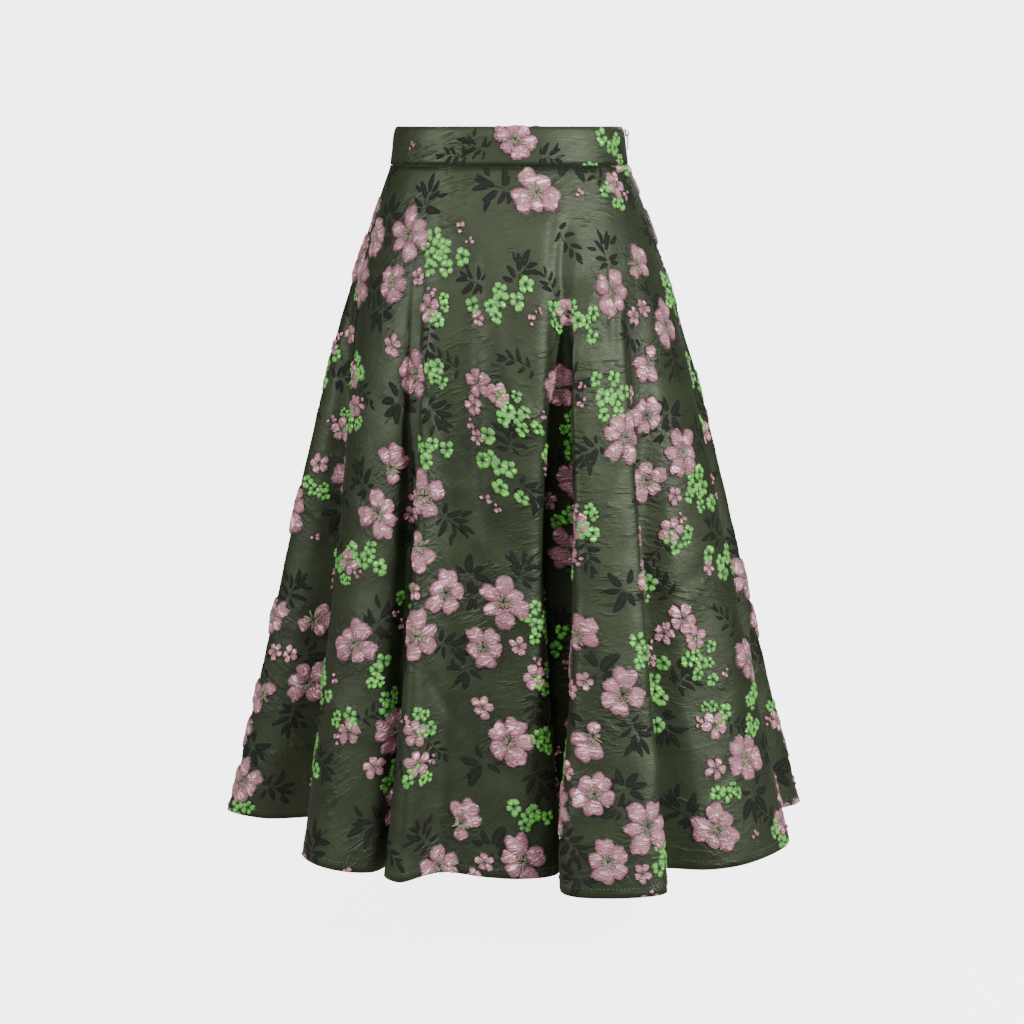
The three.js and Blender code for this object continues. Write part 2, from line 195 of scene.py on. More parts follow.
class Panel:
    """A piece of cloth with flat sizes. across runs -0.5 to 0.5 along it and down 0 to 1 from its top.

    It holds a fine lookup of points and outward normals, so that anything drawn on the flat cut can be
    laid on the form. A skirt panel's flat cut is a sector of a ring, and a band's is a strip.
    """

    def __init__(self, points, body_cost, creases, uneven, seed):
        self.points, self.body_cost = points, body_cost
        self.creases, self.uneven, self.seed = creases, uneven, seed
        normal = np.cross(np.gradient(points, axis=1), np.gradient(points, axis=0))
        self.normals = normal / np.linalg.norm(normal, axis=2, keepdims=True)
        arc = np.linalg.norm(np.diff(points, axis=0), axis=2).sum(0)
        fall = np.linalg.norm(np.diff(points, axis=1), axis=2).mean(0)
        self.length = fall.sum()
        self.top, self.bottom = arc[0], arc[-1]
        # The sector's angle: how much longer the lower edge is than the upper, over the length.
        self.angle = (self.bottom - self.top) / self.length

    def width(self, down):
        return self.top + (self.bottom - self.top) * down

    def flat_area(self):
        return (self.top + self.bottom) / 2 * self.length

    def flat_box(self):
        """Width and length of the rectangle that the sector is cut from."""
        if self.angle < FLAT_ANGLE:
            return self.bottom, self.length
        inner, outer = self.top / self.angle, self.bottom / self.angle
        half = min(self.angle / 2, np.pi / 2)
        return 2 * outer * np.sin(half), outer - inner * np.cos(half)

    def from_flat(self, x, y):
        """Flat millimetres (x from the middle, y down from the top at the middle) to across and down."""
        if self.angle < FLAT_ANGLE:
            return x / self.top, y / self.length
        inner = self.top / self.angle
        radius = np.hypot(x, y + inner)
        return np.arctan2(x, y + inner) / self.angle, (radius - inner) / self.length

    def to_flat(self, across, down):
        """Across and down to flat millimetres, the reverse of from_flat."""
        if self.angle < FLAT_ANGLE:
            return across * self.top, down * self.length
        inner = self.top / self.angle
        radius, turn = inner + down * self.length, across * self.angle
        return radius * np.sin(turn), radius * np.cos(turn) - inner

    def relief(self, across, down):
        """Height of the cloth's outside over its form: creases, unevenness, the roll into its seams.

        A crease is its depth times a bell across it and a softer bell along it.
        """
        x, y = self.to_flat(across, down)
        height = self.uneven * waves(x, y, self.seed)
        troughs = np.zeros(np.broadcast(x, y).shape)
        for cx, cy, turn, length, width, depth in self.creases:
            a = np.radians(turn)
            along = (x - cx) * np.cos(a) + (y - cy) * np.sin(a)
            aside = -(x - cx) * np.sin(a) + (y - cy) * np.cos(a) + CREASE_BOW * along ** 2
            troughs -= depth * np.exp(-(aside / (0.5 * width)) ** 2 - (along / (0.5 * length)) ** 4)
        height = troughs + height
        for distance in ((0.5 - np.abs(across)) * self.width(down), down * self.length):
            height = height - EDGE_ROLL_DEPTH * np.clip(1 - distance / EDGE_ROLL, 0, 1) ** 2
        return height

    def lay(self, across, down, height):
        """Points on the form, height above it along its normal, by linear lookup in the fine grid."""
        n, m = self.points.shape[:2]
        a = np.clip((across + 0.5) * (n - 1), 0, n - 1.001)
        d = np.clip(down * (m - 1), 0, m - 1.001)
        i, j = a.astype(int), d.astype(int)
        u, v = (a - i)[..., None], (d - j)[..., None]

        def blend(grid):
            upper = grid[i, j] * (1 - u) + grid[i + 1, j] * u
            lower = grid[i, j + 1] * (1 - u) + grid[i + 1, j + 1] * u
            return upper * (1 - v) + lower * v

        return blend(self.points) + blend(self.normals) * np.asarray(height)[..., None]

    def dress(self, across, down, height=0.0):
        """Points at a height over the cloth's outside, with its relief."""
        return self.lay(across, down, height + self.relief(across, down))

    def beside(self, end, away, down):
        """Across and down of points at distances away from one end, 1 or -1."""
        across = (0.5 - away[:, None] / self.width(down)[None]) * end
        return across, np.broadcast_to(down, across.shape)

    def near_cut(self, x, y, margin):
        """Which flat points lie on the cut or within margin millimetres of it."""
        across, down = self.from_flat(x, y)
        return ((np.abs(across) < 0.5 + margin / self.width(np.clip(down, 0, 1)))
                & (down > -margin / self.length) & (down < 1 + margin / self.length))


def even_rows(points):
    """Slides the points of every row along it until they are evenly spaced, as the cloth's threads are."""
    steps = np.linalg.norm(np.diff(points, axis=0), axis=2)
    arc = np.concatenate([np.zeros((1, points.shape[1])), np.cumsum(steps, 0)])
    share = np.linspace(0, 1, points.shape[0])
    out = np.empty_like(points)
    for j in range(points.shape[1]):
        for axis in range(3):
            out[:, j, axis] = np.interp(share * arc[-1, j], arc[:, j], points[:, j, axis])
    return out


def skirt_panel(k0, k1, creases, seed):
    """One skirt panel from seam to seam, stopping half the seam gap short of each."""
    k = np.linspace(k0, k1, int((k1 - k0) * LOOKUP_TO_STATION))
    points = skirt_surface(k, np.linspace(0, 1, LOOKUP_ROWS))
    for end, inner in ((0, 1), (-1, -2)):
        edge = points[inner] - points[end]
        points[end] += edge / np.linalg.norm(edge, axis=1, keepdims=True) * SEAM_GAP / 2
    points = even_rows(points)
    step = np.linalg.norm(np.diff(points, axis=0), axis=2).mean(1)
    hem = np.diff(points[:, -1], axis=0)
    turn = np.arctan2(hem[:, 1], hem[:, 0])
    bend = np.abs(np.angle(np.exp(1j * np.diff(turn, append=turn[-1]))))
    cost = np.concatenate([[0], np.cumsum(step / step.sum() + BEND_SHARE * bend / bend.sum())])
    return Panel(points, cost / cost[-1], creases, SKIRT_UNEVEN, seed)


def waistband_panel(start, end, creases, seed):
    """Half of the waistband, an upright strip between two bearings with the profile's width."""
    at = np.linspace(np.radians(start), np.radians(end), BAND_LOOKUP[0])
    gap = SEAM_GAP / 2 / WAIST_HALF_THROUGH
    at = np.clip(at, at[0] + gap, at[-1] - gap)
    heights, widths = np.array(BAND_PROFILE).T
    z = np.linspace(BAND_HALF_HEIGHT, -BAND_HALF_HEIGHT, BAND_LOOKUP[1])
    across = np.polynomial.Polynomial.fit(heights, widths, 4)(z)
    points = np.stack([
        across[None] * np.sin(at)[:, None],
        -(across - THROUGH_LESS)[None] * np.cos(at)[:, None],
        np.broadcast_to(z, (len(at), len(z))),
    ], 2)
    return Panel(even_rows(points), np.linspace(0, 1, len(at)), creases, BAND_UNEVEN, seed)


# Relief of the cloth: listed creases and a soft unevenness
# A crease: x and y of its middle on the flat cut, its turn from level in degrees, its length, its
# width and its depth (a ridge where negative).
FRONT_CREASES = (
    (-120, 60, 62, 70, 9, 1.0), (-60, 95, 75, 90, 12, -0.9), (40, 70, 100, 60, 9, 0.9),
    (95, 110, 115, 80, 12, -1.1), (-150, 190, 66, 120, 16, 1.4), (-30, 210, 84, 150, 22, -1.6),
    (70, 240, 97, 130, 18, 1.3), (170, 260, 116, 160, 20, -1.6), (-250, 330, 60, 150, 18, 1.5),
    (-120, 380, 80, 190, 26, -2.0), (10, 420, 92, 220, 24, 2.2), (130, 400, 104, 150, 18, -1.5),
    (290, 380, 125, 170, 22, 1.7), (-380, 480, 55, 130, 20, -1.5), (-210, 520, 70, 120, 14, 1.2),
    (-60, 560, 85, 180, 26, -2.0), (110, 590, 98, 170, 22, 1.9), (260, 560, 113, 190, 26, -2.1),
    (400, 540, 128, 140, 20, 1.6), (-300, 640, 64, 110, 16, 1.3), (30, 680, 40, 60, 10, 0.8),
    (210, 690, 150, 70, 10, -0.8), (-140, 300, 20, 50, 8, 0.7),
    (54, 100, 92, 90, 16, 4.0), (58, 170, 98, 120, 22, 7.5), (117, 130, 88, 90, 14, 2.2),
    (-160, 545, 104, 150, 34, 3.0), (174, 652, 100, 100, 30, -3.0),
    (-184, 640, 104, 150, 34, 2.8), (336, 455, 74, 170, 36, 2.8), (380, 440, 76, 150, 30, -2.2),
)
BACK_CREASES = (
    (-150, 80, 60, 80, 10, 1.0), (-50, 70, 82, 70, 10, -0.9), (60, 90, 98, 90, 12, 1.0),
    (160, 110, 122, 90, 12, -1.0), (-260, 200, 48, 130, 16, 1.4), (-110, 230, 72, 150, 20, -1.6),
    (20, 220, 90, 140, 18, 1.5), (150, 240, 110, 150, 20, -1.5), (300, 220, 135, 130, 16, 1.3),
    (-420, 330, 38, 150, 20, 1.5), (-240, 400, 60, 170, 22, -1.8), (-60, 420, 84, 200, 26, 2.0),
    (110, 430, 100, 180, 24, -1.9), (290, 390, 124, 160, 20, 1.6), (460, 320, 146, 140, 18, -1.4),
    (-480, 520, 42, 150, 22, 1.6), (-300, 580, 58, 180, 24, -1.9), (-120, 600, 78, 170, 22, 1.7),
    (60, 620, 94, 190, 24, -2.0), (230, 590, 112, 170, 22, 1.7), (420, 520, 134, 160, 22, -1.6),
    (600, 430, 152, 110, 16, 1.2), (-620, 420, 28, 110, 16, -1.2), (0, 330, 15, 60, 9, 0.7),
)
BAND_CREASES = (
    (-150, 12, 4, 60, 3, 0.35), (-118, 26, -6, 80, 3.5, -0.4), (-60, 9, 3, 70, 2.5, 0.3),
    (-30, 30, 5, 90, 3.5, 0.4), (20, 17, -4, 70, 3, -0.35), (75, 28, -7, 80, 3, 0.4),
    (110, 11, 6, 60, 2.5, -0.3), (150, 23, -5, 50, 3, 0.35),
)
SKIRT_UNEVEN = 0.45     # millimetres of gentle unevenness
BAND_UNEVEN = 0.18
EDGE_ROLL = 3.5         # how far from a seam the cloth begins to roll in
EDGE_ROLL_DEPTH = 0.75
WAVES = 14
WAVE_LENGTH = 46        # of the unevenness, before each wave's own stretch
WAVE_STRETCH = (0.6, 1.9)
WAVES_SHARE = 5         # the sum of all the waves is divided by this
CREASE_BOW = 0.0016     # how much a crease bends


def waves(x, y, seed):
    """A sum of crossed sine waves of seeded direction, length and phase, from about -1 to 1."""
    rng = np.random.default_rng(seed)
    total = np.zeros(np.broadcast(x, y).shape)
    for turn, stretch, phase in zip(rng.uniform(0, np.pi, WAVES), rng.uniform(*WAVE_STRETCH, WAVES),
                                    rng.uniform(0, 2 * np.pi, WAVES)):
        length = WAVE_LENGTH * stretch
        total += np.sin((x * np.cos(turn) + y * np.sin(turn)) * 2 * np.pi / length + phase)
    return total / WAVES_SHARE


# Meshes
FABRIC_MAP = "fabric"
MAP_UNIT = 100.0           # millimetres of the flat cut to one unit of that map
NEAR_REACH = 7.0
FOLD_MAP_STRETCH = 1.6     # so that the two sides of a folded strip do not share their cloth
BANDS_TO_SCALE = 0.159     # a wave texture has 2 pi bands to one of its scale
BARE_METAL = (0.62, 0.6, 0.56, 1.0)


def add_mesh(name, points, faces, flat=None, **values):
    """A mesh object from points in millimetres, with its flat place as a UV map and its own values."""
    mesh = bpy.data.meshes.new(name)
    mesh.from_pydata((np.asarray(points).reshape(-1, 3) * MM).tolist(), [], faces)
    if flat is not None:
        corners = np.empty(len(mesh.loops), dtype=np.int32)
        mesh.loops.foreach_get("vertex_index", corners)
        uv = mesh.uv_layers.new(name=FABRIC_MAP)
        uv.data.foreach_set("uv", (np.asarray(flat).reshape(-1, 2)[corners] / MAP_UNIT).ravel())
    for key, value in values.items():
        value = np.asarray(value, dtype=np.float32)
        kind, field = ("FLOAT_VECTOR", "vector") if value.ndim == 2 else ("FLOAT", "value")
        mesh.attributes.new(key, kind, "POINT").data.foreach_set(field, value.ravel())
    mesh.shade_smooth()
    mesh.update()
    thing = bpy.data.objects.new(name, mesh)
    bpy.context.scene.collection.objects.link(thing)
    return thing


def grid_faces(columns, rows, closed=False):
    """Quads between the points [column, row] of a grid; closed joins its last row to its first."""
    index = np.arange(columns * rows).reshape(columns, rows)
    if closed:
        index = np.concatenate([index, index[:, :1]], 1)
    quads = np.stack([index[:-1, :-1], index[:-1, 1:], index[1:, 1:], index[1:, :-1]], 2)
    return quads.reshape(-1, 4)


def thicken(thing, thickness):
    """Solidify inwards; the inside takes the second material."""
    wall = thing.modifiers.new("wall", "SOLIDIFY")
    wall.thickness = thickness * MM
    wall.offset = -1
    wall.use_rim = True
    wall.material_offset = 1
    wall.material_offset_rim = 0


def put(thing, slot, *materials, stands_for=()):
    """Gives a finished piece its materials and its body, and hides the CAD nodes that it stands for; its
    slot is not used.
    """
    for one in materials:
        thing.data.materials.append(one)
    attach(thing, BODY)
    if stands_for:
        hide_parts(*stands_for)
    return thing


def cloth_mesh(name, panel, columns, rows, spots):
    """A panel's cloth as a grid whose columns stand closer where the form bends most.

    Its value "near" is 1 beside a flower and falls to 0 about NEAR_REACH millimetres from it.
    """
    share = np.linspace(-0.5, 0.5, len(panel.points))
    across = np.interp(np.linspace(0, 1, columns), panel.body_cost, share)
    a, d = np.meshgrid(across, np.linspace(0, 1, rows), indexing="ij")
    x, y = panel.to_flat(a, d)
    near = np.zeros(x.shape)
    for spot_x, spot_y, reach in spots:
        away = np.hypot(x - spot_x, y - spot_y) - reach
        near = np.maximum(near, np.exp(-np.clip(away, 0, None) / NEAR_REACH))
    return add_mesh(name, panel.dress(a, d), grid_faces(columns, rows).tolist(), np.stack([x, y], 2),
                    near=near.ravel())


def tube_faces(columns, rows, turn=1):
    """Quads round a tube of columns, each a ring of rows, and a cap at each end; turn -1 flips them."""
    faces = grid_faces(columns, rows, closed=True)[:, ::turn].tolist()
    ring = list(range(rows))
    return faces + [ring[::turn], [(columns - 1) * rows + i for i in ring[::-turn]]]


def folded_mesh(name, panel, columns, profile, inset=0.0):
    """A closed strip: the profile, rows of (down, height) on the panel, carried from end to end.

    The profile's rows run down the outside, so that the faces look outwards, and both ends are closed.
    """
    down, height = np.array(profile).T
    across = np.linspace(-0.5 + inset, 0.5 - inset, columns)
    a, d = np.meshgrid(across, down, indexing="ij")
    x, y = panel.to_flat(a, d)
    return add_mesh(name, panel.dress(a, d, height[None]), tube_faces(columns, len(down)),
                    np.stack([x, y - FOLD_MAP_STRETCH * height[None]], 2), near=np.zeros(x.size))


def tube_mesh(name, path, radius, sides):
    """A round wire along a path in millimetres; its rings stand square to the path."""
    along = np.gradient(path, axis=0)
    along /= np.linalg.norm(along, axis=1, keepdims=True)
    first = np.cross(along, np.array([0.31, 0.87, 0.39]))
    first /= np.linalg.norm(first, axis=1, keepdims=True)
    second = np.cross(along, first)
    a = np.linspace(0, 2 * np.pi, sides, endpoint=False)[None, :, None]
    rings = path[:, None] + radius * (np.cos(a) * first[:, None] + np.sin(a) * second[:, None])
    return add_mesh(name, rings, tube_faces(len(path), sides, -1))


# The flowers: a chart in millimetres on the flat cut, x to the right and y down
# A blossom is petals: turn from up (clockwise, degrees), length, width, notch (share of the length).
PETALS = {
    "rose": ((0, 29, 23, 0.08), (66, 25, 20, 0.05), (138, 30, 26, 0.1), (212, 25, 21, 0.0),
             (286, 27, 23, 0.09)),
    "slim": ((4, 31, 19, 0.05), (60, 26, 16, 0.0), (112, 30, 21, 0.06), (174, 32, 23, 0.1),
             (236, 25, 16, 0.0), (300, 29, 19, 0.06)),
    "pansy": ((-24, 30, 20, 0.05), (34, 24, 18, 0.0), (112, 31, 29, 0.08), (182, 22, 17, 0.0),
              (248, 30, 27, 0.08)),
    "open": ((14, 28, 21, 0.1), (78, 24, 18, 0.0), (134, 25, 17, 0.04), (198, 34, 27, 0.13),
             (284, 28, 25, 0.06)),
    "half": ((-50, 26, 17, 0.0), (-4, 32, 22, 0.06), (42, 27, 17, 0.0), (150, 18, 17, 0.0)),
    "small": ((0, 10, 7.2, 0.0), (74, 9, 7, 0.0), (146, 10, 7.4, 0.0), (216, 9, 7, 0.0),
              (290, 10, 7, 0.0)),
    "bud": ((-30, 6.5, 4.5, 0.0), (35, 7, 5, 0.0), (180, 5, 4, 0.0)),
}
GREEN_LOBES = ((8, 10.2, 9.0), (84, 8.8, 7.8), (152, 10.6, 9.4), (222, 8.6, 7.6), (292, 9.8, 8.6))
# A green cluster packs its blossoms in a spiral: how many, and how much longer than wide it is.
CLUSTERS = {"bunch": (8, 1.5), "trailing": (7, 2.0), "four": (5, 1.4), "green": (2, 1.8)}
SPIRAL_STEP = 8.2
SPIRAL_TURN = 137.5
# Leaves of a spray: x, y of the leaf's foot, turn, length and width; the stem runs up its middle.
SPRAYS = {
    "spray": ((0, 2, -100, 14, 6), (0, -1, -68, 19, 7), (1, -3, 74, 20, 7), (-1, -8, -40, 21, 7.5),
              (1, -10, 38, 20, 7), (0, -16, -14, 20, 7), (2, -17, 17, 16, 6), (3, 0, 108, 13, 5.5),
              (-9, -14, -64, 15, 5.5), (9, -17, 62, 14, 5.5)),
    "fern": ((0, 0, -84, 12, 5), (0, -3, 72, 15, 5.5), (0, -9, -60, 16, 6), (0, -13, 54, 16, 5.5),
             (0, -19, -44, 15, 5.5), (0, -22, 38, 14, 5.5), (0, -28, -24, 13, 5), (0, -30, 8, 15, 5.5)),
    "broad": ((0, 0, -36, 25, 11), (2, -2, 48, 22, 10), (-3, 2, -104, 18, 8), (3, 3, 112, 16, 7),
              (0, -4, 4, 21, 8.5), (-7, 8, -142, 13, 6)),
}
# A sprig gathers them: what, x, y, turn, size.
SPRIGS = {
    "trail": (("slim", 0, 0, 12, 1.0), ("rose", -32, 42, 50, 0.88), ("bunch", 36, 30, 32, 1.0),
              ("small", 4, 46, 20, 1.0), ("bud", 62, 8, 10, 1.0), ("bud", 70, 22, 80, 0.8),
              ("spray", 22, -22, 38, 1.0), ("spray", -30, -10, -66, 0.95),
              ("broad", -58, 62, 232, 0.95)),
    "single": (("pansy", 0, 0, -14, 1.0), ("green", -6, -36, 0, 1.0), ("green", 6, -44, 40, 0.75),
               ("spray", -30, 4, -92, 1.1), ("fern", 30, 28, 128, 1.0), ("bud", 44, -16, 20, 0.9)),
    "couple": (("open", 0, 0, 10, 0.96), ("half", 42, -30, 56, 0.95), ("four", -36, 30, 40, 1.0),
               ("small", 32, 24, 0, 1.0), ("spray", 0, -30, -8, 1.0), ("broad", 64, 4, 96, 1.0)),
    "greens": (("trailing", 0, 0, -20, 1.05), ("bud", 34, 20, 0, 1.0), ("bud", 42, 9, 70, 0.8),
               ("small", -28, 22, 10, 0.9), ("spray", 16, -20, 36, 1.0), ("spray", -24, -14, -74, 0.9)),
    "rosary": (("rose", 0, 0, 4, 1.0), ("small", -35, -24, 0, 1.25), ("green", 36, -18, 0, 1.0),
               ("green", 42, -4, 30, 0.8), ("broad", -22, 32, 216, 1.1), ("spray", 32, 24, 122, 1.0)),
    "chain": (("small", 0, 0, 0, 1.7), ("small", 20, 14, 40, 1.4), ("small", -14, 22, 70, 1.2),
              ("bunch", 34, 36, 60, 0.9), ("bud", -24, 38, 190, 1.0), ("fern", -20, -16, -50, 1.0)),
    "posy": (("small", -6, 6, 0, 1.45), ("green", 12, 2, 0, 0.95), ("green", 4, -12, 40, 0.75),
             ("bud", -20, -6, 60, 1.0), ("fern", 10, 14, 132, 0.85)),
}
# The repeat: sprigs at x, y with a turn. Each next column of repeats drops by half its height.
REPEAT_WIDTH = 372
REPEAT_HEIGHT = 384
REPEAT = (
    ("trail", 66, 50, 0), ("single", 212, 26, 12), ("couple", 300, 112, -12), ("greens", 166, 132, 6),
    ("rosary", 36, 190, 28), ("chain", 118, 214, 0), ("single", 222, 226, 168),
    ("trail", 338, 254, 196), ("greens", 112, 300, 104), ("rosary", 232, 330, -64),
    ("couple", 18, 312, 150), ("posy", 318, 346, 20), ("posy", 302, 4, 150), ("posy", 86, 134, 70),
    ("posy", 236, 148, 200), ("posy", 182, 300, -50),
)
# The band's own short pieces: what, x, y, turn and size.
BAND_CHART = {
    "front": (("slim", 6, 14, -10, 0.86), ("spray", -26, 24, -62, 0.8), ("fern", -44, 30, -80, 0.8),
              ("spray", 34, 30, 96, 0.7), ("four", 122, 10, 12, 0.95), ("small", -163, 33, 0, 1.1),
              ("green", 92, 37, 20, 0.8), ("bud", -108, 12, 40, 0.9)),
    "back": (("rose", -96, 20, 30, 0.8), ("spray", -64, 20, 84, 0.7), ("four", -20, 14, 70, 0.95),
             ("pansy", 72, 26, 20, 0.8), ("fern", 40, 22, -84, 0.8), ("small", 122, 12, 0, 1.1),
             ("spray", 150, 30, 60, 0.7), ("green", -148, 30, 0, 1.0)),
}
SEED = 20
BLOSSOM_SIZE = 0.92


def turned(x, y, turn, size=1.0):
    """A point turned clockwise by turn degrees (y runs down) and scaled."""
    a = np.radians(turn)
    return (x * np.cos(a) - y * np.sin(a)) * size, (x * np.sin(a) + y * np.cos(a)) * size


def florets(what, x, y, turn, size):
    """The blossoms of a green cluster: x, y, turn and size of each, seeded by its place."""
    count, stretch = CLUSTERS[what]
    rng = np.random.default_rng(int(abs(3 * x + 7 * y)) + count)
    rows = []
    for i in range(count):
        at, reach = np.radians(SPIRAL_TURN * i), SPIRAL_STEP * np.sqrt(i)
        fx = reach * np.cos(at) * stretch + rng.uniform(-1.6, 1.6)
        fy = reach * np.sin(at) / stretch ** 0.5 + rng.uniform(-1.6, 1.6)
        dx, dy = turned(fx, fy, turn, size)
        rows.append((x + dx, y + dy, rng.uniform(0, 72), size * rng.uniform(0.78, 1.02)))
    return rows


def spread_chart(items, x, y, turn, size, rows):
    """Takes sprigs apart into their single things and adds them to rows as (what, x, y, turn, size)."""
    for what, ix, iy, iturn, *isize in items:
        dx, dy = turned(ix, iy, turn, size)
        placed = (what, x + dx, y + dy, turn + iturn, size * (isize[0] if isize else 1.0))
        if what in SPRIGS:
            spread_chart(SPRIGS[what], *placed[1:], rows)
        else:
            rows.append(placed)


def skirt_chart(panel):
    """The repeat laid over a panel's flat cut, in columns that drop by half."""
    width, length = panel.flat_box()
    rows = []
    for column in range(-int(width / 2 / REPEAT_WIDTH) - 1, int(width / 2 / REPEAT_WIDTH) + 2):
        drop = (column % 2) * REPEAT_HEIGHT / 2
        for row in range(-1, int(length / REPEAT_HEIGHT) + 2):
            spread_chart(REPEAT, (column - 0.5) * REPEAT_WIDTH, row * REPEAT_HEIGHT - drop, 0, 1.0, rows)
    return rows


PAD = np.dtype([(name, float) for name in
                ("x", "y", "turn", "start", "length", "width", "notch", "height", "taper", "tone")])
WAVER = ((3, 1, 0.04), (5, 2, 0.025), (8, 3, 0.01))     # of a pad's outline: waves, shift, share
NOTCH_WIDTH = 0.13      # share of a pad's width
PAD_MIDDLE = 0.54       # share of its length
PAD_FLANK = 0.85        # power that fills out its flanks
PAD_DOME = 3.2          # power of its steep dome
PAD_SUNK = 0.35         # millimetres that its rim lies under the cloth
PAD_RIM = -0.3          # height at the panel's edge
PLEATS = 15             # in each radian of the fan
PLEAT_FOOT = 0.25       # share of its length that the fan's point lies before its foot
PLEAT_FADE = (1.6, 6)   # how they come in from the middle, and the power that ends them at the rim
SWAY = {"petal": 5, "heart": 11, "lobe": 14, "leaf": 12}     # degrees either way
# Of large blossoms and then of small ones: a petal's foot and height, and the hearts' stitches.
PETAL_FOOT = (0.8, 0.4)
PETAL_HEIGHT = (2.3, 1.4)
PETAL_STEP = 0.3        # how much higher each of three next petals lies
HEART_COUNT = (12, 4)
HEART_HEIGHT = (3.1, 1.8)
SMALL_HEART = (3.0, 1.9)
HEART_LENGTHS = (6.5, 14.0)
HEART_WIDTHS = (2.0, 3.6)
LEAF_STEPS = 7
LEAF_ACROSS = (-1, -0.6, -0.12, 0.12, 0.6, 1)
LEAF_BOW = 0.07
LEAF_HEIGHT = 0.62
LEAF_SUNK = 0.12
LEAF_GROOVE = 0.3
LEAF_RIM = -0.2
STEM_LENGTH = 32
STEM_WIDTH = 1.1


def petal_rows(rng, own, what, x, y, turn, size):
    """The petals of one blossom as rows of PAD; own is the blossom's own shade."""
    small = what in ("small", "bud")
    size = size if small else size * BLOSSOM_SIZE
    rows = []
    for n, (at, length, width, notch) in enumerate(PETALS[what]):
        grow, sway = rng.uniform(0.9, 1.1), rng.uniform(-SWAY["petal"], SWAY["petal"])
        tone = 0.6 * own + 0.4 * rng.uniform() + (0.25 if small else 0.0)
        rows.append((x, y, turn + at + sway, PETAL_FOOT[small] * size, length * size * grow,
                     width * size * rng.uniform(1.0, 1.14), notch,
                     PETAL_HEIGHT[small] + PETAL_STEP * (n % 3), 0.3, tone))
    return rows


def heart_rows(rng, _, what, x, y, turn, size):
    """The stitches in the middle of one blossom as rows of PAD."""
    small = what == "small"
    count = HEART_COUNT[small]
    rows = []
    for n in range(count):
        at = turn + n * 360 / count + rng.uniform(-SWAY["heart"], SWAY["heart"])
        length = (SMALL_HEART[0] if small else rng.uniform(*HEART_LENGTHS)) * size
        width = (SMALL_HEART[1] if small else rng.uniform(*HEART_WIDTHS)) * size
        rows.append((x, y, at, 0.2, length, width, 0.0, HEART_HEIGHT[small], 0.1, rng.uniform()))
    return rows


def lobe_rows(rng, _, what, x, y, turn, size):
    """The lobes of one cluster's green blossoms as rows of PAD."""
    rows = []
    for bx, by, bturn, bsize in florets(what, x, y, turn, size):
        tone = rng.uniform()
        for at, length, width in GREEN_LOBES:
            sway = rng.uniform(-SWAY["lobe"], SWAY["lobe"])
            rows.append((bx, by, bturn + at + sway, 0.5 * bsize,
                         length * bsize * rng.uniform(0.88, 1.1),
                         width * bsize * rng.uniform(0.85, 1.15), 0.0,
                         rng.uniform(1.2, 1.9), 0.25, tone))
    return rows


# What each word picks from a chart, and how it is taken apart
PADS = {
    "_blossoms": (PETALS, petal_rows),
    "_hearts": ([what for what in PETALS if what != "bud"], heart_rows),
    "_greens": (CLUSTERS, lobe_rows),
}


def pad_rows(chart, word):
    """The pads of a chart: every petal, stitch or lobe as one row of PAD."""
    kinds, rows_of = PADS[word]
    rng = np.random.default_rng(SEED)
    rows = []
    for what, *place in chart:
        own = rng.uniform(0.0, 1.0)
        if what in kinds:
            rows += rows_of(rng, own, what, *place)
    return np.array(rows, dtype=PAD)


def disc_faces(rings, sides):
    """Triangles round point 0, and quads between the rings of points that follow it."""
    near = np.arange(sides)
    after = (near + 1) % sides
    start = 1 + np.arange(rings - 1)[:, None] * sides
    quads = np.stack([start + near, start + near + sides, start + after + sides, start + after], 2)
    return np.stack([0 * near, 1 + near, 1 + after], 1), quads.reshape(-1, 4)


def lay_motifs(panel, x0, y0, turn, aside, reach, height, rim):
    """Points of motifs with their feet at x0, y0 and turned clockwise from up by turn.

    Those past the panel's edge are drawn in to it and down to rim. Their flat places and which of
    them were drawn in come with them.
    """
    a = np.radians(turn)
    x = x0 + reach * np.sin(a) + aside * np.cos(a)
    y = y0 - reach * np.cos(a) + aside * np.sin(a)
    across, down = panel.from_flat(x, y)
    past = (np.abs(across) > 0.5) | (down < 0) | (down > 1)
    across, down = np.clip(across, -0.5, 0.5), np.clip(down, 0, 1)
    return panel.dress(across, down, np.where(past, rim, height)), np.stack([x, y], -1), past


def repeated(block, count, size, past):
    """One motif's faces for count motifs of size points each, less those that lie wholly past."""
    faces = (block[None] + (np.arange(count) * size)[:, None, None]).reshape(-1, block.shape[1])
    return faces[~past[faces].all(1)].tolist()


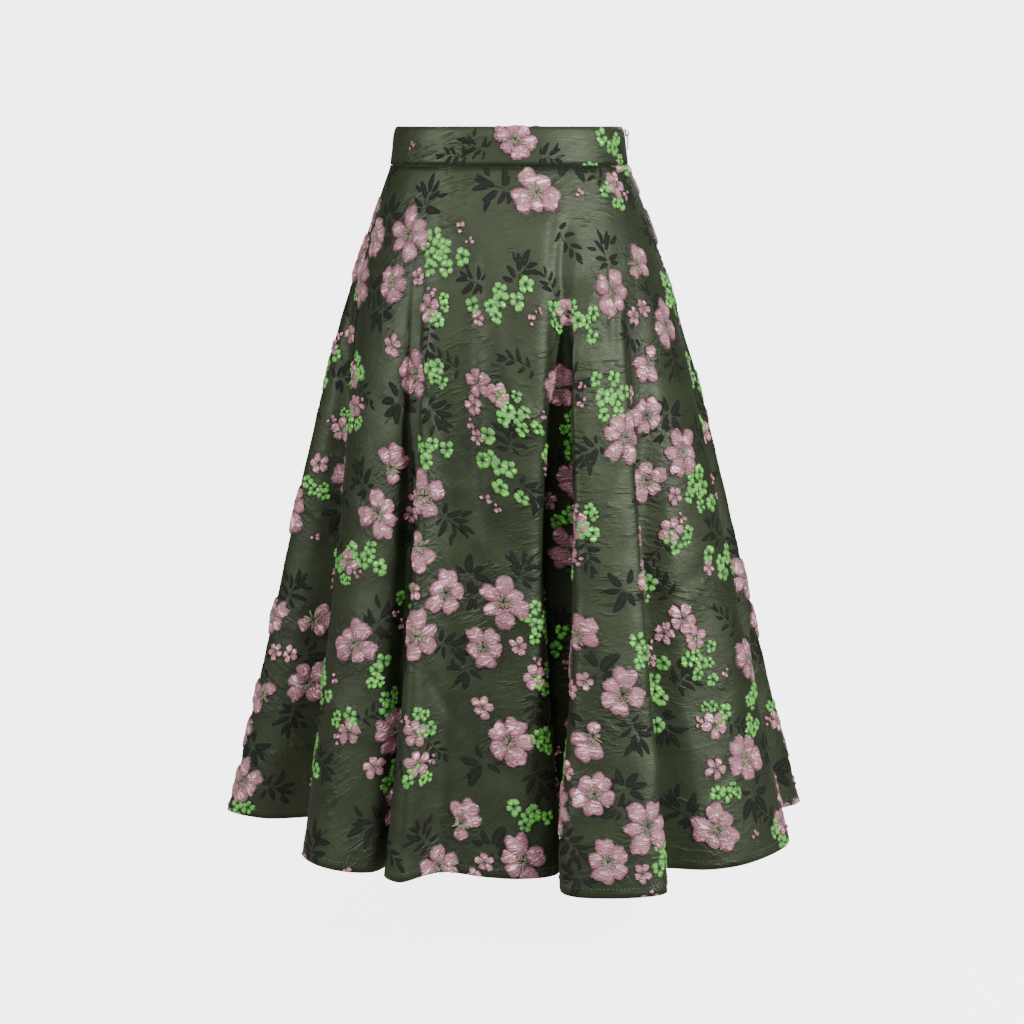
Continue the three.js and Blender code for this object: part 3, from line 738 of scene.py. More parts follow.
def pad_mesh(name, panel, rows, rings, sides, pleats):
    """Puffed pads: each a dome over an egg-shaped outline, its rim just under the cloth.

    The outline at angle q is length/2 (1 + cos q) along and width/2 sin q (1 + taper cos q) aside,
    with a notch at its tip and a slight waver. Over it the height is a steep dome, the square
    root of 1 - r^PAD_DOME, and pleats fan out from the foot.
    """
    rows = rows[panel.near_cut(rows["x"], rows["y"], rows["length"] + 2)]
    col = {key: rows[key][:, None, None] for key in rows.dtype.names}
    r = np.array(rings)[None, :, None]
    q = -np.linspace(0, 2 * np.pi, sides, endpoint=False)[None, None, :]
    phase = col["x"] * 0.37 + col["y"] * 0.23 + col["turn"] * 0.11
    waver = 1
    for count, shift, share in WAVER:
        waver = waver + share * np.sin(count * q + shift * phase)
    along = 0.5 * (1 + np.cos(q)) * waver
    aside = 0.5 * np.sign(np.sin(q)) * np.abs(np.sin(q)) ** PAD_FLANK
    aside = aside * (1 + col["taper"] * np.cos(q)) * waver
    along = along - col["notch"] * np.exp(-(aside / NOTCH_WIDTH) ** 2) * (np.cos(q) > 0)
    u, v = PAD_MIDDLE + (along - PAD_MIDDLE) * r, aside * r
    local_along, local_aside = u * col["length"], v * col["width"]
    fan = np.arctan2(local_aside, local_along + PLEAT_FOOT * col["length"])
    rise, end = PLEAT_FADE
    pleat = pleats * np.cos(fan * PLEATS + phase) * np.clip(r * rise, 0, 1) * (1 - r ** end)
    dome = np.sqrt(np.clip(1 - r ** PAD_DOME, 0, 1)) * (1 + pleat)
    height = (col["height"] + PAD_SUNK) * dome - PAD_SUNK
    points, flat, past = lay_motifs(panel, col["x"], col["y"], col["turn"], local_aside,
                                    col["start"] + local_along, height, PAD_RIM)
    local = np.stack(np.broadcast_arrays(u, 2 * v, r), -1)
    count = len(rows)

    def once(values):
        """The innermost ring is the pad's middle, and is taken once."""
        rest = values[:, 1:].reshape((count, -1) + values.shape[3:])
        return np.concatenate([values[:, :1, 0], rest], 1).reshape((-1,) + values.shape[3:])

    past, per_pad = once(past), 1 + (len(rings) - 1) * sides
    faces = []
    for block in disc_faces(len(rings) - 1, sides):
        faces += repeated(block, count, per_pad, past)
    return add_mesh(name, once(points), faces, once(flat), local=once(local),
                    tone=np.repeat(rows["tone"], per_pad))


def leaf_rows(chart):
    """Every leaf of the chart's sprays: x, y of its foot, turn, length, width."""
    rng = np.random.default_rng(SEED)
    rows = []
    for what, x, y, turn, size in chart:
        for lx, ly, lturn, length, width in SPRAYS.get(what, ()):
            dx, dy = turned(lx, ly, turn, size)
            grow, sway = size * rng.uniform(0.8, 1.2), rng.uniform(-SWAY["leaf"], SWAY["leaf"])
            rows.append((x + dx, y + dy, turn + lturn + sway, length * grow,
                         width * grow * rng.uniform(0.85, 1.15)))
        if what in SPRAYS:
            rows.append((x, y, turn, STEM_LENGTH * size, STEM_WIDTH * size))
    return np.array(rows)


def leaf_mesh(name, panel, rows):
    """Flat leaves: a lens outline, 4 s (1 - s) to a power wide, grooved down its midrib.

    A spray's stem is one more row, a lens too thin to have a groove.
    """
    rows = rows[panel.near_cut(rows[:, 0], rows[:, 1], rows[:, 3])]
    x0, y0, turn, length, width = (rows[:, i, None, None] for i in range(5))
    s = np.linspace(0, 1, LEAF_STEPS)[None, :, None]
    v = np.array(LEAF_ACROSS)[None, None, :]
    half = 0.5 * width * (4 * s * (1 - s)) ** 0.75 * (1.15 - 0.45 * s)
    bow = LEAF_BOW * length * np.sin(np.pi * s) * np.sign(np.sin(turn * 0.7 + x0))
    height = LEAF_HEIGHT * (1 - np.abs(v) ** 4) * (4 * s * (1 - s)) ** 0.3 - LEAF_SUNK
    height = height - LEAF_GROOVE * np.exp(-(v / 0.3) ** 2) * (width > 2)
    points, flat, past = lay_motifs(panel, x0, y0, turn, v * half + bow, s * length + 0 * v, height,
                                    LEAF_RIM)
    count, rows_in, columns_in = past.shape
    faces = repeated(grid_faces(rows_in, columns_in), count, rows_in * columns_in, past.reshape(-1))
    local = np.stack(np.broadcast_arrays(s, v, width / 10 + 0 * s), 3).reshape(-1, 3)
    return add_mesh(name, points, faces, flat, local=local)


# Shader building
class Wiring:
    """A material, world or group being wired: each method adds a node and gives its output socket."""

    def __init__(self, tree):
        self.tree = tree

    @classmethod
    def of_material(cls, name):
        made = bpy.data.materials.new(name)
        made.use_nodes = True
        w = cls(made.node_tree)
        w.material = made
        return w

    @classmethod
    def of_group(cls, name, **inputs):
        """A group with a vector input, float inputs and their defaults."""
        w = cls(bpy.data.node_groups.new(name, "ShaderNodeTree"))
        w.tree.interface.new_socket("Vector", in_out="INPUT", socket_type="NodeSocketVector")
        for key, default in inputs.items():
            socket = w.tree.interface.new_socket(key, in_out="INPUT", socket_type="NodeSocketFloat")
            socket.default_value = default
        w.given = w.tree.nodes.new("NodeGroupInput").outputs
        return w

    def give(self, **outputs):
        """The group's float outputs."""
        for key in outputs:
            self.tree.interface.new_socket(key, in_out="OUTPUT", socket_type="NodeSocketFloat")
        end = self.tree.nodes.new("NodeGroupOutput")
        for key, socket in outputs.items():
            self.tree.links.new(socket, end.inputs[key])

    def fill(self, made, sources):
        """Links or sets a node's inputs, by name or number."""
        for key, value in sources.items():
            if isinstance(value, bpy.types.NodeSocket):
                self.tree.links.new(value, made.inputs[key])
            else:
                made.inputs[key].default_value = value
        return made

    def node(self, kind, sources=(), **settings):
        made = self.tree.nodes.new(kind)
        for key, value in settings.items():
            setattr(made, key, value)
        return self.fill(made, dict(sources))

    def math(self, operation, *values, clamp=False):
        return self.node("ShaderNodeMath", enumerate(values), operation=operation,
                         use_clamp=clamp).outputs[0]

    def times(self, a, b):
        return self.math("MULTIPLY", a, b)

    def step(self, value, low, high, to_low=0.0, to_high=1.0):
        """value from low..high to to_low..to_high, clamped, on a smooth step."""
        sources = {"Value": value, "From Min": low, "From Max": high, "To Min": to_low, "To Max": to_high}
        return self.node("ShaderNodeMapRange", sources, interpolation_type="SMOOTHSTEP").outputs[0]

    def layers(self, shade, *over):
        """A colour with further ones blended over it, each as (its mask, the colour)."""
        for mask, colour in over:
            shade = self.node("ShaderNodeMix", {0: mask, 6: shade, 7: colour}, data_type="RGBA",
                              clamp_factor=True).outputs[2]
        return shade

    def noise(self, vector, scale, detail=3.0, roughness=0.55, distortion=0.0):
        return self.node("ShaderNodeTexNoise", {"Vector": vector, "Scale": scale, "Detail": detail,
                                                "Roughness": roughness,
                                                "Distortion": distortion}).outputs["Fac"]

    def stretched(self, vector, turn, scale):
        """A vector turned by turn degrees about Z and then scaled."""
        spin = {"Vector": vector, "Rotation": (0, 0, np.radians(turn))}
        spun = self.node("ShaderNodeMapping", spin).outputs[0]
        return self.node("ShaderNodeMapping", {"Vector": spun, "Scale": scale}).outputs[0]

    def use(self, name, vector, **sources):
        """A group's outputs; the inputs' names have no spaces."""
        made = self.tree.nodes.new("ShaderNodeGroup")
        made.node_tree = bpy.data.node_groups[name]
        return self.fill(made, {"Vector": vector, **sources}).outputs

    def fabric(self):
        """The flat cut's own map, with one unit to MAP_UNIT millimetres."""
        return self.node("ShaderNodeUVMap", uv_map=FABRIC_MAP).outputs[0]

    def place(self):
        return self.node("ShaderNodeTexCoord").outputs["Object"]

    def value(self, name):
        return self.node("ShaderNodeAttribute", attribute_name=name,
                         attribute_type="GEOMETRY").outputs["Fac"]

    def local(self):
        """A pad's or leaf's own place, as three values."""
        held = self.node("ShaderNodeAttribute", attribute_name="local", attribute_type="GEOMETRY")
        return self.node("ShaderNodeSeparateXYZ", {0: held.outputs["Vector"]}).outputs

    def bump(self, *pairs):
        """Bump nodes one over the other, each as (its height, its distance in millimetres)."""
        sources = {}
        for height, distance in pairs:
            sources.update(Height=height, Distance=distance * MM, Strength=1.0)
            sources["Normal"] = self.node("ShaderNodeBump", sources).outputs[0]
        return sources["Normal"]

    def principled(self, sources, **constants):
        """Wires the Principled shader and gives the finished material; constants go to its sockets."""
        constants = {k.replace("_", " ").title().replace("Ior", "IOR"): v for k, v in constants.items()}
        self.fill(self.tree.nodes["Principled BSDF"], {**sources, **constants})
        return self.material


def scaled(colour, factor=1.0):
    """A colour as RGBA, brightened by a factor."""
    return tuple(min(1.0, c * factor) for c in colour[:3]) + (1.0,)


def make_weave_group():
    """Threads of a satin: fine crossed bands broken by noise, and long slubs along the weft."""
    w = Wiring.of_group("satin weave", Thread=0.6, Slub=1.0)
    at, per_unit = w.given["Vector"], w.math("DIVIDE", MAP_UNIT, w.given["Thread"])
    bands = [w.node("ShaderNodeTexWave", {"Vector": at, "Scale": w.times(per_unit, BANDS_TO_SCALE),
                                          "Distortion": 1.2, "Detail": 1.0, "Detail Scale": 0.4},
                    bands_direction=direction).outputs["Fac"] for direction in ("X", "Y")]
    slubs = w.noise(w.stretched(at, 6, (1.1, 21.0, 1.0)), 4.0, 4.0, 0.65, 0.4)
    fine = w.times(w.math("ADD", *bands), 0.25)
    w.give(Height=w.math("ADD", fine, w.times(slubs, w.given["Slub"])), Slubs=slubs)


def make_crinkle_group():
    """Puckers: sharp folds of a noise, 1 - |4 n - 2|, at the given size in millimetres."""
    w = Wiring.of_group("crinkle", Size=12.0, Sharpness=3.0)
    scale = w.math("DIVIDE", MAP_UNIT, w.given["Size"])
    folds = []
    for turn, stretch, share in ((24, 0.42, 0.6), (-38, 0.55, 0.4)):
        n = w.noise(w.stretched(w.given["Vector"], turn, (stretch, 1.0, 1.0)), scale, 2.0, 0.5, 0.7)
        away = w.math("ABSOLUTE", w.math("MULTIPLY_ADD", n, 4.0, -2.0))
        fold = w.math("SUBTRACT", 1.0, away, clamp=True)
        folds.append(w.times(w.math("POWER", fold, w.given["Sharpness"]), share))
    w.give(Height=w.math("ADD", *folds))


def make_wisps_group():
    """Patches of short, nearly level puckers, each several times longer than the given size."""
    w = Wiring.of_group("wisps", Size=7.0)
    at, scale = w.given["Vector"], w.math("DIVIDE", MAP_UNIT, w.given["Size"])
    n = w.noise(w.stretched(at, 9, (0.24, 1.0, 1.0)), scale, 1.5, 0.5, 0.9)
    patch = w.step(w.noise(at, 1.5, 2.0, 0.5, 0.6), 0.5, 0.64)
    w.give(Height=w.times(w.step(n, 0.46, 0.72), patch))


def make_crepe_group():
    """A puffed weave: small soft cells of the given size, crossed by level zigzag wrinkles."""
    w = Wiring.of_group("crepe", Size=1.6)
    at, scale = w.given["Vector"], w.math("DIVIDE", MAP_UNIT, w.given["Size"])
    bent = w.node("ShaderNodeTexNoise", {"Vector": at, "Scale": 22.0, "Detail": 2.0}).outputs["Color"]
    moved = w.node("ShaderNodeVectorMath", {0: bent, 1: (0.03, 0.03, 0.0)}, operation="MULTIPLY")
    at = w.node("ShaderNodeVectorMath", {0: at, 1: moved.outputs[0]}, operation="ADD").outputs[0]
    cells = w.node("ShaderNodeTexVoronoi", {"Vector": at, "Scale": scale, "Smoothness": 0.6},
                   feature="SMOOTH_F1", voronoi_dimensions="2D").outputs["Distance"]
    wrinkle = w.noise(w.stretched(at, 8, (0.4, 1.0, 1.0)), w.times(scale, 0.4), 2.0, 0.6, 0.8)
    ridge = w.math("ABSOLUTE", w.math("MULTIPLY_ADD", wrinkle, 6.0, -3.0), clamp=True)
    puff = w.times(w.math("SUBTRACT", 1.0, cells), 0.4)
    # Lines marks the wrinkles' valleys; puffed() paints shade along them.
    w.give(Height=w.math("ADD", puff, w.times(ridge, 0.8)), Lines=w.math("SUBTRACT", 1.0, ridge))


def satin(name, colour):
    """Ground satin: dark and light threads, long slubs, painted sheen streaks, puckers that are stronger
    near the flowers and painted shade beside them.
    """
    w = Wiring.of_material(name)
    at = w.fabric()
    weave = w.use("satin weave", at, Thread=0.75, Slub=0.8)
    large, small = (w.use("crinkle", at, Size=size, Sharpness=sharp)["Height"]
                    for size, sharp in ((24.0, 2.2), (9.0, 1.8)))
    wisps = w.use("wisps", at, Size=6.5)["Height"]
    near = w.value("near")
    # Lighter diagonal streaks: painted sheen on the satin.
    sheen_streak = w.noise(w.stretched(at, 32, (1.3, 6.5, 1.0)), 3.2, 3.0, 0.6, 0.5)
    shade = w.layers(scaled(colour, 0.72),
                     (w.step(w.noise(at, 1.7), 0.35, 0.68), scaled(colour, 1.16)),
                     (w.times(w.step(sheen_streak, 0.52, 0.78), 0.3), scaled(colour, 1.7)),
                     (w.times(w.step(weave["Slubs"], 0.56, 0.8), 0.2), scaled(colour, 1.8)),
                     # Painted shade: the ground darkens beside the flowers, where their raised pads would
                     # shade it.
                     (w.times(near, 0.55), scaled(colour, 0.42)))
    puckers = w.times(small, w.math("MULTIPLY_ADD", near, 0.7, 0.06))
    ridges = w.math("MULTIPLY_ADD", wisps, 1.2, puckers)
    normal = w.bump((w.math("MULTIPLY_ADD", large, 0.25, ridges), 0.8), (weave["Height"], 0.12))
    return w.principled({"Base Color": shade, "Roughness": w.step(weave["Slubs"], 0.3, 0.75, 0.6, 0.47),
                         "Normal": normal}, sheen_weight=0.04, sheen_roughness=0.4,
                        sheen_tint=(0.75, 0.85, 0.62, 1.0), specular_ior_level=0.4,
                        specular_tint=(0.82, 0.95, 0.7, 1.0))


def puffed(name, colour, size, deep, heart, depth, lines):
    """Puffed thread of a flower: crepe cells, a painted highlight on the crown, painted shade in the
    wrinkles and towards the foot, the heart's colour at the foot, and a dark rim that is partly outline and
    partly painted shade.
    """
    w = Wiring.of_material(name)
    at, part = w.fabric(), w.local()
    crepe = w.use("crepe", at, Size=size)
    fine = w.use("satin weave", at, Thread=0.6, Slub=0.4)
    shade = w.layers(scaled(colour, 0.45), (w.value("tone"), scaled(colour, 1.1)),
                     # Painted highlight: paler towards each pad's crown.
                     (w.step(part[2], 0.1, 0.85, 0.75, 0.0), scaled(colour, 2.1)),
                     (w.step(w.noise(at, 6.0), 0.42, 0.7, 0.0, 0.65), deep),
                     # Painted shade in the crepe's wrinkles.
                     (w.step(crepe["Lines"], 0.0, 0.7, 0.0, lines), deep),
                     # Painted shade towards each petal's foot; the next layer is the heart's own colour at
                     # the very foot.
                     (w.step(part[0], 0.16, 0.5, 0.7, 0.0), deep),
                     (w.step(part[0], 0.06, 0.3, 0.95, 0.0), heart),
                     # Dark rim: partly the pad's outline, partly painted shade on its steep edge where it
                     # meets the ground.
                     (w.step(part[2], 0.72, 0.98, 0.0, 0.98), scaled(deep, 0.14)))
    return w.principled({"Base Color": shade, "Roughness": w.step(crepe["Lines"], 0.1, 0.7, 0.32, 0.56),
                         "Normal": w.bump((crepe["Height"], depth), (fine["Height"], 0.08))},
                        sheen_weight=0.05, sheen_roughness=0.45, specular_ior_level=0.8)


def leaf_cloth(name, colour):
    """Dark flat weave of the leaves, with a paler midrib and slanting veins."""
    w = Wiring.of_material(name)
    part = w.local()
    aside = w.math("ABSOLUTE", part[1])
    slant = w.math("MULTIPLY_ADD", part[0], 34.0, w.times(aside, -9.0))
    veins = w.times(w.step(w.math("SINE", slant), 0.72, 1.0), 0.55)
    lines = w.math("MAXIMUM", veins, w.step(aside, 0.0, 0.2, 1.0, 0.0))
    weave = w.use("satin weave", w.fabric(), Thread=0.7, Slub=0.6)
    shade = w.layers(scaled(colour, 0.6), (w.step(weave["Slubs"], 0.35, 0.7), scaled(colour, 1.6)),
                     (w.times(lines, 0.5), scaled(colour, 4.0)))
    return w.principled({"Base Color": shade, "Roughness": w.step(weave["Slubs"], 0.3, 0.7, 0.8, 0.66),
                         "Normal": w.bump((w.math("SUBTRACT", weave["Height"], lines), 0.22))},
                        specular_ior_level=0.18)


def thread(name, colour, deep):
    """Twisted sewing thread: slanting plies along the stitch."""
    w = Wiring.of_material(name)
    at = w.place()
    plies = w.node("ShaderNodeTexWave", {"Vector": at, "Scale": 700.0, "Distortion": 2.0},
                   bands_direction="DIAGONAL").outputs["Fac"]
    shade = w.layers(colour, (w.step(w.noise(at, 90.0, 2.0), 0.35, 0.7), deep),
                     (w.times(plies, 0.35), deep))
    return w.principled({"Base Color": shade, "Roughness": w.step(plies, 0.0, 1.0, 0.5, 0.7),
                         "Normal": w.bump((plies, 0.12))}, sheen_weight=0.2)


def lining(name, colour):
    """The satin's duller reverse: floats of all the threads, speckled."""
    w = Wiring.of_material(name)
    at = w.fabric()
    floats = w.noise(w.stretched(at, 0, (2.0, 18.0, 1.0)), 6.0, 3.0, 0.7)
    shade = w.layers(scaled(colour, 0.6), (w.step(floats, 0.42, 0.66), scaled(colour, 1.3)))
    normal = w.bump((w.use("satin weave", at, Thread=1.1, Slub=1.0)["Height"], 0.2),
                    (w.use("crinkle", at, Size=22.0, Sharpness=2.0)["Height"], 0.8))
    return w.principled({"Base Color": shade, "Roughness": w.step(floats, 0.3, 0.7, 0.75, 0.6),
                         "Normal": normal}, specular_ior_level=0.3)


def zip_metal(name, colour):
    """Painted cast metal: soft mottling, small scratches and a little wear."""
    w = Wiring.of_material(name)
    at = w.place()
    mottle = w.noise(at, 900.0, 4.0)
    scratch = w.noise(w.stretched(at, 20, (200.0, 4000.0, 900.0)), 1.0, 2.0)
    wear = w.step(scratch, 0.6, 0.72)
    shade = w.layers(scaled(colour, 0.8), (w.step(mottle, 0.35, 0.7), scaled(colour, 1.15)),
                     (w.times(wear, 0.5), BARE_METAL))
    return w.principled({"Base Color": shade, "Metallic": w.step(wear, 0.0, 1.0, 0.75, 1.0),
                         "Roughness": w.step(mottle, 0.3, 0.7, 0.28, 0.42),
                         "Normal": w.bump((scratch, 0.02))})


def floor_paper(name):
    """Pale studio paper, unseen from underneath and fading out towards its edge."""
    w = Wiring.of_material(name)
    at = w.place()
    grain = w.noise(at, 60.0, 4.0)
    glow = w.times(w.node("ShaderNodeLightPath").outputs["Is Camera Ray"], FLOOR_GLOW)
    paper = w.principled({"Base Color": w.layers((0.30, 0.30, 0.30, 1), (grain, (0.31, 0.31, 0.31, 1))),
                          "Roughness": w.step(grain, 0.3, 0.7, 0.85, 0.95), "Emission Strength": glow},
                         specular_ior_level=0.1, emission_color=(1.0, 1.0, 1.0, 1.0))
    away = w.node("ShaderNodeVectorMath", {0: at}, operation="LENGTH").outputs["Value"]
    faded = w.math("MAXIMUM", w.node("ShaderNodeNewGeometry").outputs["Backfacing"],
                   w.step(away, FLOOR_RADIUS * 0.4, FLOOR_RADIUS))
    mixed = w.node("ShaderNodeMixShader", {0: faded, 1: w.tree.nodes["Principled BSDF"].outputs[0],
                                           2: w.node("ShaderNodeBsdfTransparent").outputs[0]})
    w.fill(w.tree.nodes["Material Output"], {"Surface": mixed.outputs[0]})
    return paper


# The sizes and colours that a user would change
def length_property(name, description, default):
    return bpy.props.FloatProperty(name=name, description=description, default=default, min=0.0,
                                   subtype="DISTANCE", unit="LENGTH", precision=5)


def colour_property(name, description, default):
    return bpy.props.FloatVectorProperty(name=name, description=description, default=default, size=4,
                                         min=0.0, max=1.0, subtype="COLOR")


class SkirtSizes(bpy.types.PropertyGroup):
    """Sizes of the cloth, its sewing and the studio."""
    cloth: length_property("Cloth", "Thickness of the skirt's cloth", 0.0011)
    band: length_property("Waistband", "Thickness of the folded waistband", 0.0026)
    hem: length_property("Hem", "Depth of the turned hem", 0.012)
    stitch: length_property("Stitch", "Distance from one hem stitch to the next", 0.0042)
    floor: length_property("Floor", "How far the floor lies under the origin", 0.86)


class SkirtColours(bpy.types.PropertyGroup):
    """Colours of the threads and the zip."""
    ground: colour_property("Ground", "Satin ground", (0.0118, 0.0163, 0.0066, 1.0))
    inside: colour_property("Inside", "Reverse of the satin", (0.026, 0.036, 0.02, 1.0))
    pink: colour_property("Blossom", "Large and small blossoms", (0.66, 0.275, 0.325, 1.0))
    # Painted shade: this colour darkens the petals' wrinkles, feet and rims, and also gives them random
    # darker patches.
    pink_deep: colour_property("Blossom shade", "Feet and rims of the petals", (0.13, 0.036, 0.052, 1.0))
    heart: colour_property("Heart", "Stitched middles of the blossoms", (0.2, 0.175, 0.11, 1.0))
    green: colour_property("Green blossom", "Small green blossoms", (0.115, 0.52, 0.035, 1.0))
    # Painted shade: this colour darkens the green lobes' wrinkles, feet and rims, and also gives them
    # random darker patches.
    green_deep: colour_property("Green shade", "Feet and rims of the green lobes",
                                (0.01, 0.075, 0.005, 1.0))
    leaf: colour_property("Leaf", "Leaves and stems", (0.0045, 0.006, 0.0035, 1.0))
    thread: colour_property("Thread", "Sewing thread", (0.07, 0.085, 0.045, 1.0))
    tape: colour_property("Zip tape", "Woven tape of the zip", (0.03, 0.042, 0.024, 1.0))
    metal: colour_property("Zip slider", "Painted slider and pull", (0.36, 0.235, 0.225, 1.0))


# The four panels, their charts and the grids of their meshes
PANELS = {
    "skirt_front": skirt_panel(LEFT_SEAM - STATIONS, RIGHT_SEAM, FRONT_CREASES, 3),
    "skirt_back": skirt_panel(RIGHT_SEAM, LEFT_SEAM, BACK_CREASES, 4),
    "waistband_front": waistband_panel(-90, 90, BAND_CREASES, 5),
    "waistband_back": waistband_panel(90, 270, BAND_CREASES[::-1], 6),
}
CHARTS = {
    "skirt_front": skirt_chart(PANELS["skirt_front"]),
    "skirt_back": skirt_chart(PANELS["skirt_back"]),
    "waistband_front": BAND_CHART["front"],
    "waistband_back": BAND_CHART["back"],
}
GRIDS = {"skirt_front": (250, 132), "skirt_back": (318, 132)}
PETAL_RINGS = (0, 0.38, 0.7, 0.9, 1.0)
LOBE_RINGS = (0, 0.5, 0.85, 1.0)
STITCH_RINGS = (0, 0.7, 1.0)
PETAL_SIDES = 20
LOBE_SIDES = 10
STITCH_SIDES = 6
BLOSSOM_REACH = {"rose": 25, "slim": 27, "pansy": 27, "open": 27, "half": 22, "small": 8, "bud": 5}
GREEN_REACH = 6.5
# Within this reach a blossom also paints shade on the cloth beside it.
PUCKER_REACH = 40       # how far past a panel's edge a blossom still puckers it
BAND_COLUMNS = 150
HEM_DEPTHS = (1.0, 0.1)         # of the turned hem's inner and outer face, inside the cloth
HEM_INSET = 0.001               # share of the panel that the hem stops short of each seam
STITCH_SIZE = (3.0, 0.75, 0.5)  # length, width and height
STITCH_UNDER = 3.0              # how far the stitches lie under the hem's upper edge
STITCHED = 0.495                # share of the panel that they run each way from its middle


def spots_of(chart):
    """The blossoms' places and reaches, for the puckers and the shade beside them."""
    rows = [(x, y, BLOSSOM_REACH[what] * size) for what, x, y, _, size in chart if what in PETALS]
    for item in chart:
        if item[0] in CLUSTERS:
            rows += [(x, y, GREEN_REACH * size) for x, y, _, size in florets(*item)]
    return rows


# Makers
def make_skirt_cloth(key, sizes, outside, inside):
    """One panel of the skirt, a wall with its reverse on the inside."""
    panel = PANELS[key]
    spots = [row for row in spots_of(CHARTS[key]) if panel.near_cut(*row[:2], PUCKER_REACH)]
    cloth = cloth_mesh(key + "_cloth", panel, *GRIDS[key], spots)
    thicken(cloth, sizes.cloth / MM)
    return put(cloth, "satin", outside, inside, stands_for=(key,))


def make_waistband(key, sizes, outside):
    """The folded band: up its inside, over its top in a half circle and down its outside."""
    half = sizes.band / MM / 2
    turn = np.linspace(np.pi, 0, 9)
    length = PANELS[key].length
    profile = [(1, -2 * half), (0.5, -2 * half)]
    profile += [(half * (1 - np.sin(t)) / length, -half + half * np.cos(t)) for t in turn]
    profile += [(down, 0) for down in (0.12, 0.3, 0.5, 0.7, 0.88, 1)]
    band = folded_mesh(key + "_cloth", PANELS[key], BAND_COLUMNS, profile)
    return put(band, "satin", outside, stands_for=(key,))


def make_hem(key, sizes, outside):
    """The hem turned up inside the cloth."""
    top = 1 - sizes.hem / MM / PANELS[key].length
    inner, outer = (-sizes.cloth / MM - depth for depth in HEM_DEPTHS)
    profile = ((1, inner), ((top + 1) / 2, inner), (top, inner), (top, outer), ((top + 1) / 2, outer),
               (1, outer))
    hem = folded_mesh(key + "_hem", PANELS[key], GRIDS[key][0], profile, HEM_INSET)
    return put(hem, "satin", outside)


def make_stitches(key, sizes, colour):
    """One row of short stitches, a little under the turned hem's upper edge."""
    panel = PANELS[key]
    down = 1 - (sizes.hem / MM - STITCH_UNDER) / panel.length
    across = np.arange(-STITCHED, STITCHED, sizes.stitch / MM / panel.width(down))
    rows = np.zeros(len(across), dtype=PAD)
    rows["x"], rows["y"] = panel.to_flat(across, down)
    rows["turn"] = 90 - np.degrees(across * panel.angle)
    rows["length"], rows["width"], rows["height"] = STITCH_SIZE
    stitches = pad_mesh(key + "_stitches", panel, rows, STITCH_RINGS, STITCH_SIDES, 0.0)
    return put(stitches, "satin", colour)


def make_pads(key, word, rings, sides, pleats, outside):
    """The blossoms, hearts or green blossoms of one panel, by the word that ends their name."""
    pads = pad_mesh(key + word, PANELS[key], pad_rows(CHARTS[key], word), rings, sides, pleats)
    return put(pads, "satin", outside)


def make_leaves(key, outside):
    """The leaves and stems of one panel."""
    return put(leaf_mesh(key + "_leaves", PANELS[key], leaf_rows(CHARTS[key])), "satin", outside)


ALLOWANCE = 11.0
ALLOWANCE_CLOTH = 0.5
ALLOWANCE_CLEAR = 0.12
ALLOWANCE_GRID = (5, 140)
SEAM_FROM = 0.006       # share of the length, where the allowances begin and end
SEAM_TO = 0.9998
BELOW_TAPE = 0.004
HEM_STEP = 1.05         # how far the allowance stands in to clear the turned hem
HEM_STEEP = 120         # how short that step is, along the length


def seam_side(side, end, away, down, hem_top):
    """Points inside one panel at distances away from its end, 1 or -1, that the seam is at."""
    panel = PANELS["skirt_" + side]
    a, d = panel.beside(end, away, down)
    depth = CLOTH + ALLOWANCE_CLEAR + HEM_STEP * smoothstep((d - hem_top) * HEM_STEEP + 1)
    return panel.dress(a, d, -depth), panel.to_flat(a, d)


def make_side_seams(sizes, inside):
    """The side seams' allowances, pressed open inside the skirt and over the turned hem."""
    columns, rows = ALLOWANCE_GRID
    away = np.linspace(0, ALLOWANCE, columns)
    hem_top = 1 - sizes.hem / MM / PANELS["skirt_front"].length
    points, flats, faces = [], [], []
    for first, second, top in (("front", "back", TAPE_DOWN + BELOW_TAPE), ("back", "front", SEAM_FROM)):
        down = np.linspace(top, SEAM_TO, rows)
        for side, end, row in ((first, 1, away[::-1]), (second, -1, away)):
            strip, flat = seam_side(side, end, row, down, hem_top)
            points.append(strip)
            flats.append(np.stack(flat, 2))
        faces.append(grid_faces(2 * columns, rows) + len(faces) * 2 * columns * rows)
    seams = add_mesh("side_seams", np.concatenate(points), np.concatenate(faces).tolist(),
                     np.concatenate(flats))
    thicken(seams, ALLOWANCE_CLOTH)
    return put(seams, "satin", inside, inside)


TAPE_WIDTH = 10.5
TAPE_TOP = 17.0
TAPE_DOWN = 0.27
TAPE_CLOTH = 0.6
TAPE_APART = 0.4        # from the seam to each tape's edge
# Its two runs: the panels' name, how deep inside them, where each begins and ends, its rows
TAPE_RUNS = (("waistband_", 3.4, (BAND_HALF_HEIGHT - TAPE_TOP) / PANELS["waistband_front"].length, 0.97, 9),
             ("skirt_", 1.9, SEAM_FROM, TAPE_DOWN, 44))
COIL_PITCH = 1.7
COIL_STEPS = 10         # to one turn
COIL_WIRE = 0.32
COIL_INSIDE = 1.3       # how far its middle lies inside the tapes' edges
COIL_HALF_WIDTH = 1.7
COIL_HALF_DEPTH = 0.75


def zip_side(side, away):
    """Points down one tape at distances away from the seam: through the band and then the skirt."""
    parts = []
    for name, depth, top, bottom, rows in TAPE_RUNS:
        panel = PANELS[name + side]
        a, d = panel.beside(1 if side == "front" else -1, away, np.linspace(top, bottom, rows))
        parts.append(panel.lay(a, d, np.full(a.shape, -depth)))
    return np.concatenate(parts, 1)


